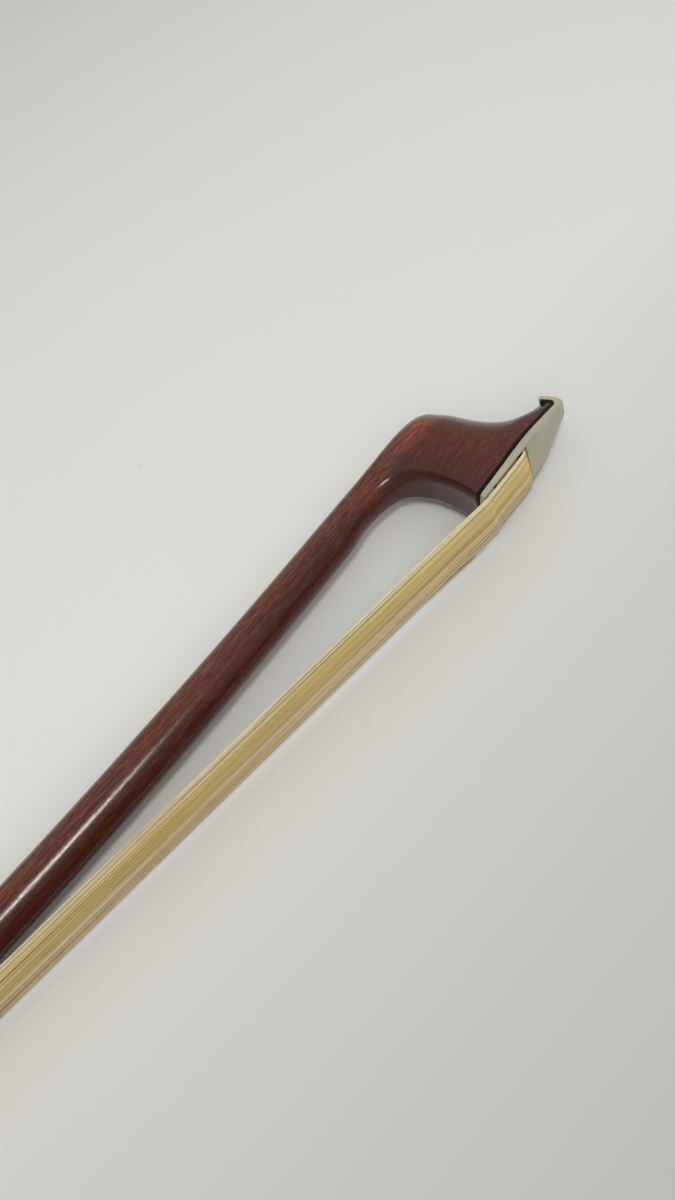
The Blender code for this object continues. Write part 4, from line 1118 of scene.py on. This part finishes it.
def knot_outline(turns, centre, size, share):
    """Places round a knot, as x and y."""
    x = centre[0] + squared(np.cos(turns)) * (size[0] - THREAD_R) * share
    y = centre[1] + squared(np.sin(turns)) * (size[1] - THREAD_R) * share
    return x, y


def make_knot(name, node, body, centre, size, place):
    """Thread wound round the flat end of the hair, with the hair's body inside it."""
    n = THREAD_TURNS * THREAD_STEPS
    k = np.arange(n + 1)
    z = (k / n * 2 - 1) * (size[2] - THREAD_R)
    plump = 1.0 - 0.16 * (z / size[2]) ** 4
    line = np.column_stack((*knot_outline(2 * math.pi * k / THREAD_STEPS, centre, size, plump), z))
    tangent = np.gradient(line, axis=0)
    tangent /= np.linalg.norm(tangent, axis=1)[:, None]
    side = np.array([(0.0, 0.0, 1.0)])
    points, faces = tube_parts(wire_rings(line, np.cross(side, tangent), side, THREAD_R))
    levels = [(d - size[2], share) for d, share in BODY_ENDS] + [(0.0, BODY_WIDTH)]
    levels += [(size[2] - d, share) for d, share in BODY_ENDS[::-1]]
    turns = turns_of(32)
    rings = []
    for level, share in levels:
        outline = knot_outline(turns, centre, size, share)
        rings.append(np.column_stack((*outline, np.full(len(turns), level))))
    more, more_faces = tube_parts(rings, first=len(points))
    obj = mesh_object(name, place(np.vstack((points, more))), faces + more_faces, THREAD, 70.0)
    store(obj, "flow", bow_points(obj))
    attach(obj, body)
    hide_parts(node)


make_knot("head_knot_thread", "head_hair_knot", "stick_body", (7.7, 6.6), (4.1, 1.25, 3.6), head_to_bow)
make_knot("frog_knot_thread", "frog_hair_knot", "frog_body", (37.5, -14.25), (5.6, 1.4, 3.9), np.asarray)


# Finish of each solid that is shown as it is, by the first of these words in its name
FINISHES = (("pearl", PEARL), ("eyelet", BRASS), ("screw", STEEL), ("plug", PLUG), ("wedge", PLUG),
            ("button_", SILVER), ("heel_", SILVER), ("eye_ring", SILVER), ("ferrule", SILVER),
            ("underslide", SILVER), ("frog", EBONY), ("button", EBONY), ("slide_backing", EBONY))


def finish_solids():
    for node, obj in NODES.items():
        if obj.hide_render:
            continue
        obj.data.materials.clear()
        obj.data.materials.append(next(finish for word, finish in FINISHES if word in node))


finish_solids()


# Stage, light and camera

FLOOR_HALF = 1.6
LIGHT_FROM = (0.50, 0.26, 0.83)
SKY_DIM = (0.30, 0.29, 0.275, 1.0)
SKY_BRIGHT = (0.60, 0.60, 0.59, 1.0)
SKY_STRENGTH = 0.73
LAMP_WARMTH = (1.0, 0.975, 0.93)
CAMERA_AT = (661.15, -108.61, 133.95)
CAMERA_RIGHT = (0.71192, -0.63811, -0.29323)
CAMERA_DOWN = (-0.67776, -0.51499, -0.52481)
CAMERA_LENS = 29.84


def paper_material():
    """Pale table with painted shade, darker beyond the hair and a little darker far beyond the stick, with a
    few specks.
    """
    s = Shader("paper")
    at = s.object_mm()
    cloud = s.noise(at, (0.012, 0.012, 0.012))
    base = s.mix(cloud, (0.770, 0.776, 0.755), (0.785, 0.790, 0.770))
    aside = s.put("SeparateXYZ", {0: at}, out=1)
    # Painted shadow: the table darkens beyond the hair
    base = s.mix(s.level(aside, 20.0, -95.0), base, (0.520, 0.516, 0.490))
    # Painted shade: the table is a little darker far beyond the stick
    base = s.tint(base, (0.735, 0.742, 0.715), aside, 110.0, 280.0, 0.8)
    dust = s.put("TexVoronoi", {"Vector": at, "Scale": 0.045, "Randomness": 1.0}, feature="F1")
    base = s.tint(base, (0.20, 0.19, 0.17), dust, 0.016, 0.010, 0.75)
    return s.surface(Base_Color=base, Roughness=0.62, Specular_IOR_Level=0.25)


def make_floor():
    far = FLOOR_HALF
    mesh = bpy.data.meshes.new("floor")
    corners = [(-far, -far, 0.0), (far, -far, 0.0), (far, far, 0.0), (-far, far, 0.0)]
    mesh.from_pydata(corners, [], [(0, 1, 2, 3)])
    obj = new_object("floor", mesh)
    mesh.materials.append(paper_material())


def make_world():
    """Even light that falls off away from one side."""
    world = bpy.data.worlds.new("studio")
    bpy.context.scene.world = world
    world.use_nodes = True
    nodes, link = world.node_tree.nodes, world.node_tree.links.new
    back = nodes["Background"]
    coords = nodes.new("ShaderNodeTexCoord")
    dot = nodes.new("ShaderNodeVectorMath")
    dot.operation = "DOT_PRODUCT"
    dot.inputs[1].default_value = Vector(LIGHT_FROM).normalized()
    link(coords.outputs["Generated"], dot.inputs[0])
    ramp = nodes.new("ShaderNodeValToRGB")
    link(dot.outputs["Value"], ramp.inputs[0])
    ramp.color_ramp.interpolation = "EASE"
    dim, bright = ramp.color_ramp.elements
    dim.position = 0.0
    dim.color = SKY_DIM
    bright.position = 0.50
    bright.color = SKY_BRIGHT
    link(ramp.outputs[0], back.inputs["Color"])
    back.inputs["Strength"].default_value = SKY_STRENGTH


def area_light(name, at, toward, size, power, colour=(1.0, 1.0, 1.0)):
    """Rectangular light; places in the bow's axes, size in metres."""
    data = bpy.data.lights.new(name, "AREA")
    data.shape = "RECTANGLE"
    data.size, data.size_y = size
    data.energy = power
    data.color = colour
    obj = new_object(name, data)
    obj.location = to_frame(at)[0].tolist()
    aim = Vector(to_frame(toward)[0]) - obj.location
    obj.rotation_euler = aim.to_track_quat("-Z", "Y").to_euler()
    return obj


def light_only(light, objects):
    """Limits a light to the given objects."""
    lit = bpy.data.collections.new("lit_by_" + light.name)
    for obj in objects:
        lit.objects.link(obj)
    light.light_linking.receiver_collection = lit


def make_lights():
    """Key over the head, lamp for the highlights, and a fill each for the hair and the rest."""
    key = area_light("key", (760.0, 90.0, 215.0), (760.0, 90.0, 0.0), (0.48, 0.42), 0.14)
    area_light("lamp", (530.0, -480.0, 1000.0), (629.0, -12.0, 0.0), (0.30, 0.18), 4.4, LAMP_WARMTH)
    low_fill = area_light("low_fill", (160.0, -980.0, 900.0), (700.0, -20.0, 0.0), (1.0, 0.75), 4.5)
    hair_fill = area_light("hair_fill", (900.0, -330.0, 150.0), (690.0, -20.0, 0.0), (0.40, 0.30), 0.80)
    for light in (key, low_fill, hair_fill):
        light.visible_glossy = False
    light_only(hair_fill, [bpy.data.objects["hair_strands"]])
    light_only(low_fill, [obj for obj in bpy.context.scene.objects
                          if obj.type == "MESH" and obj.name not in ("hair_strands", "face_plate")])


def make_camera():
    right = Vector(CAMERA_RIGHT).normalized()
    up = -Vector(CAMERA_DOWN)
    up = (up - right * up.dot(right)).normalized()
    back = right.cross(up)
    data = bpy.data.cameras.new("camera")
    data.sensor_width = 36.0
    data.lens = CAMERA_LENS
    data.clip_start = 0.005
    data.clip_end = 20.0
    obj = new_object("camera", data)
    turn = Matrix((right, up, back)).transposed()
    obj.matrix_world = Matrix.Translation(Vector(to_frame(CAMERA_AT)[0])) @ turn.to_4x4()
    bpy.context.scene.camera = obj


make_floor()
make_world()
make_lights()
make_camera()
bpy.context.scene.view_settings.view_transform = "Standard"
bpy.context.scene.view_settings.look = "None"
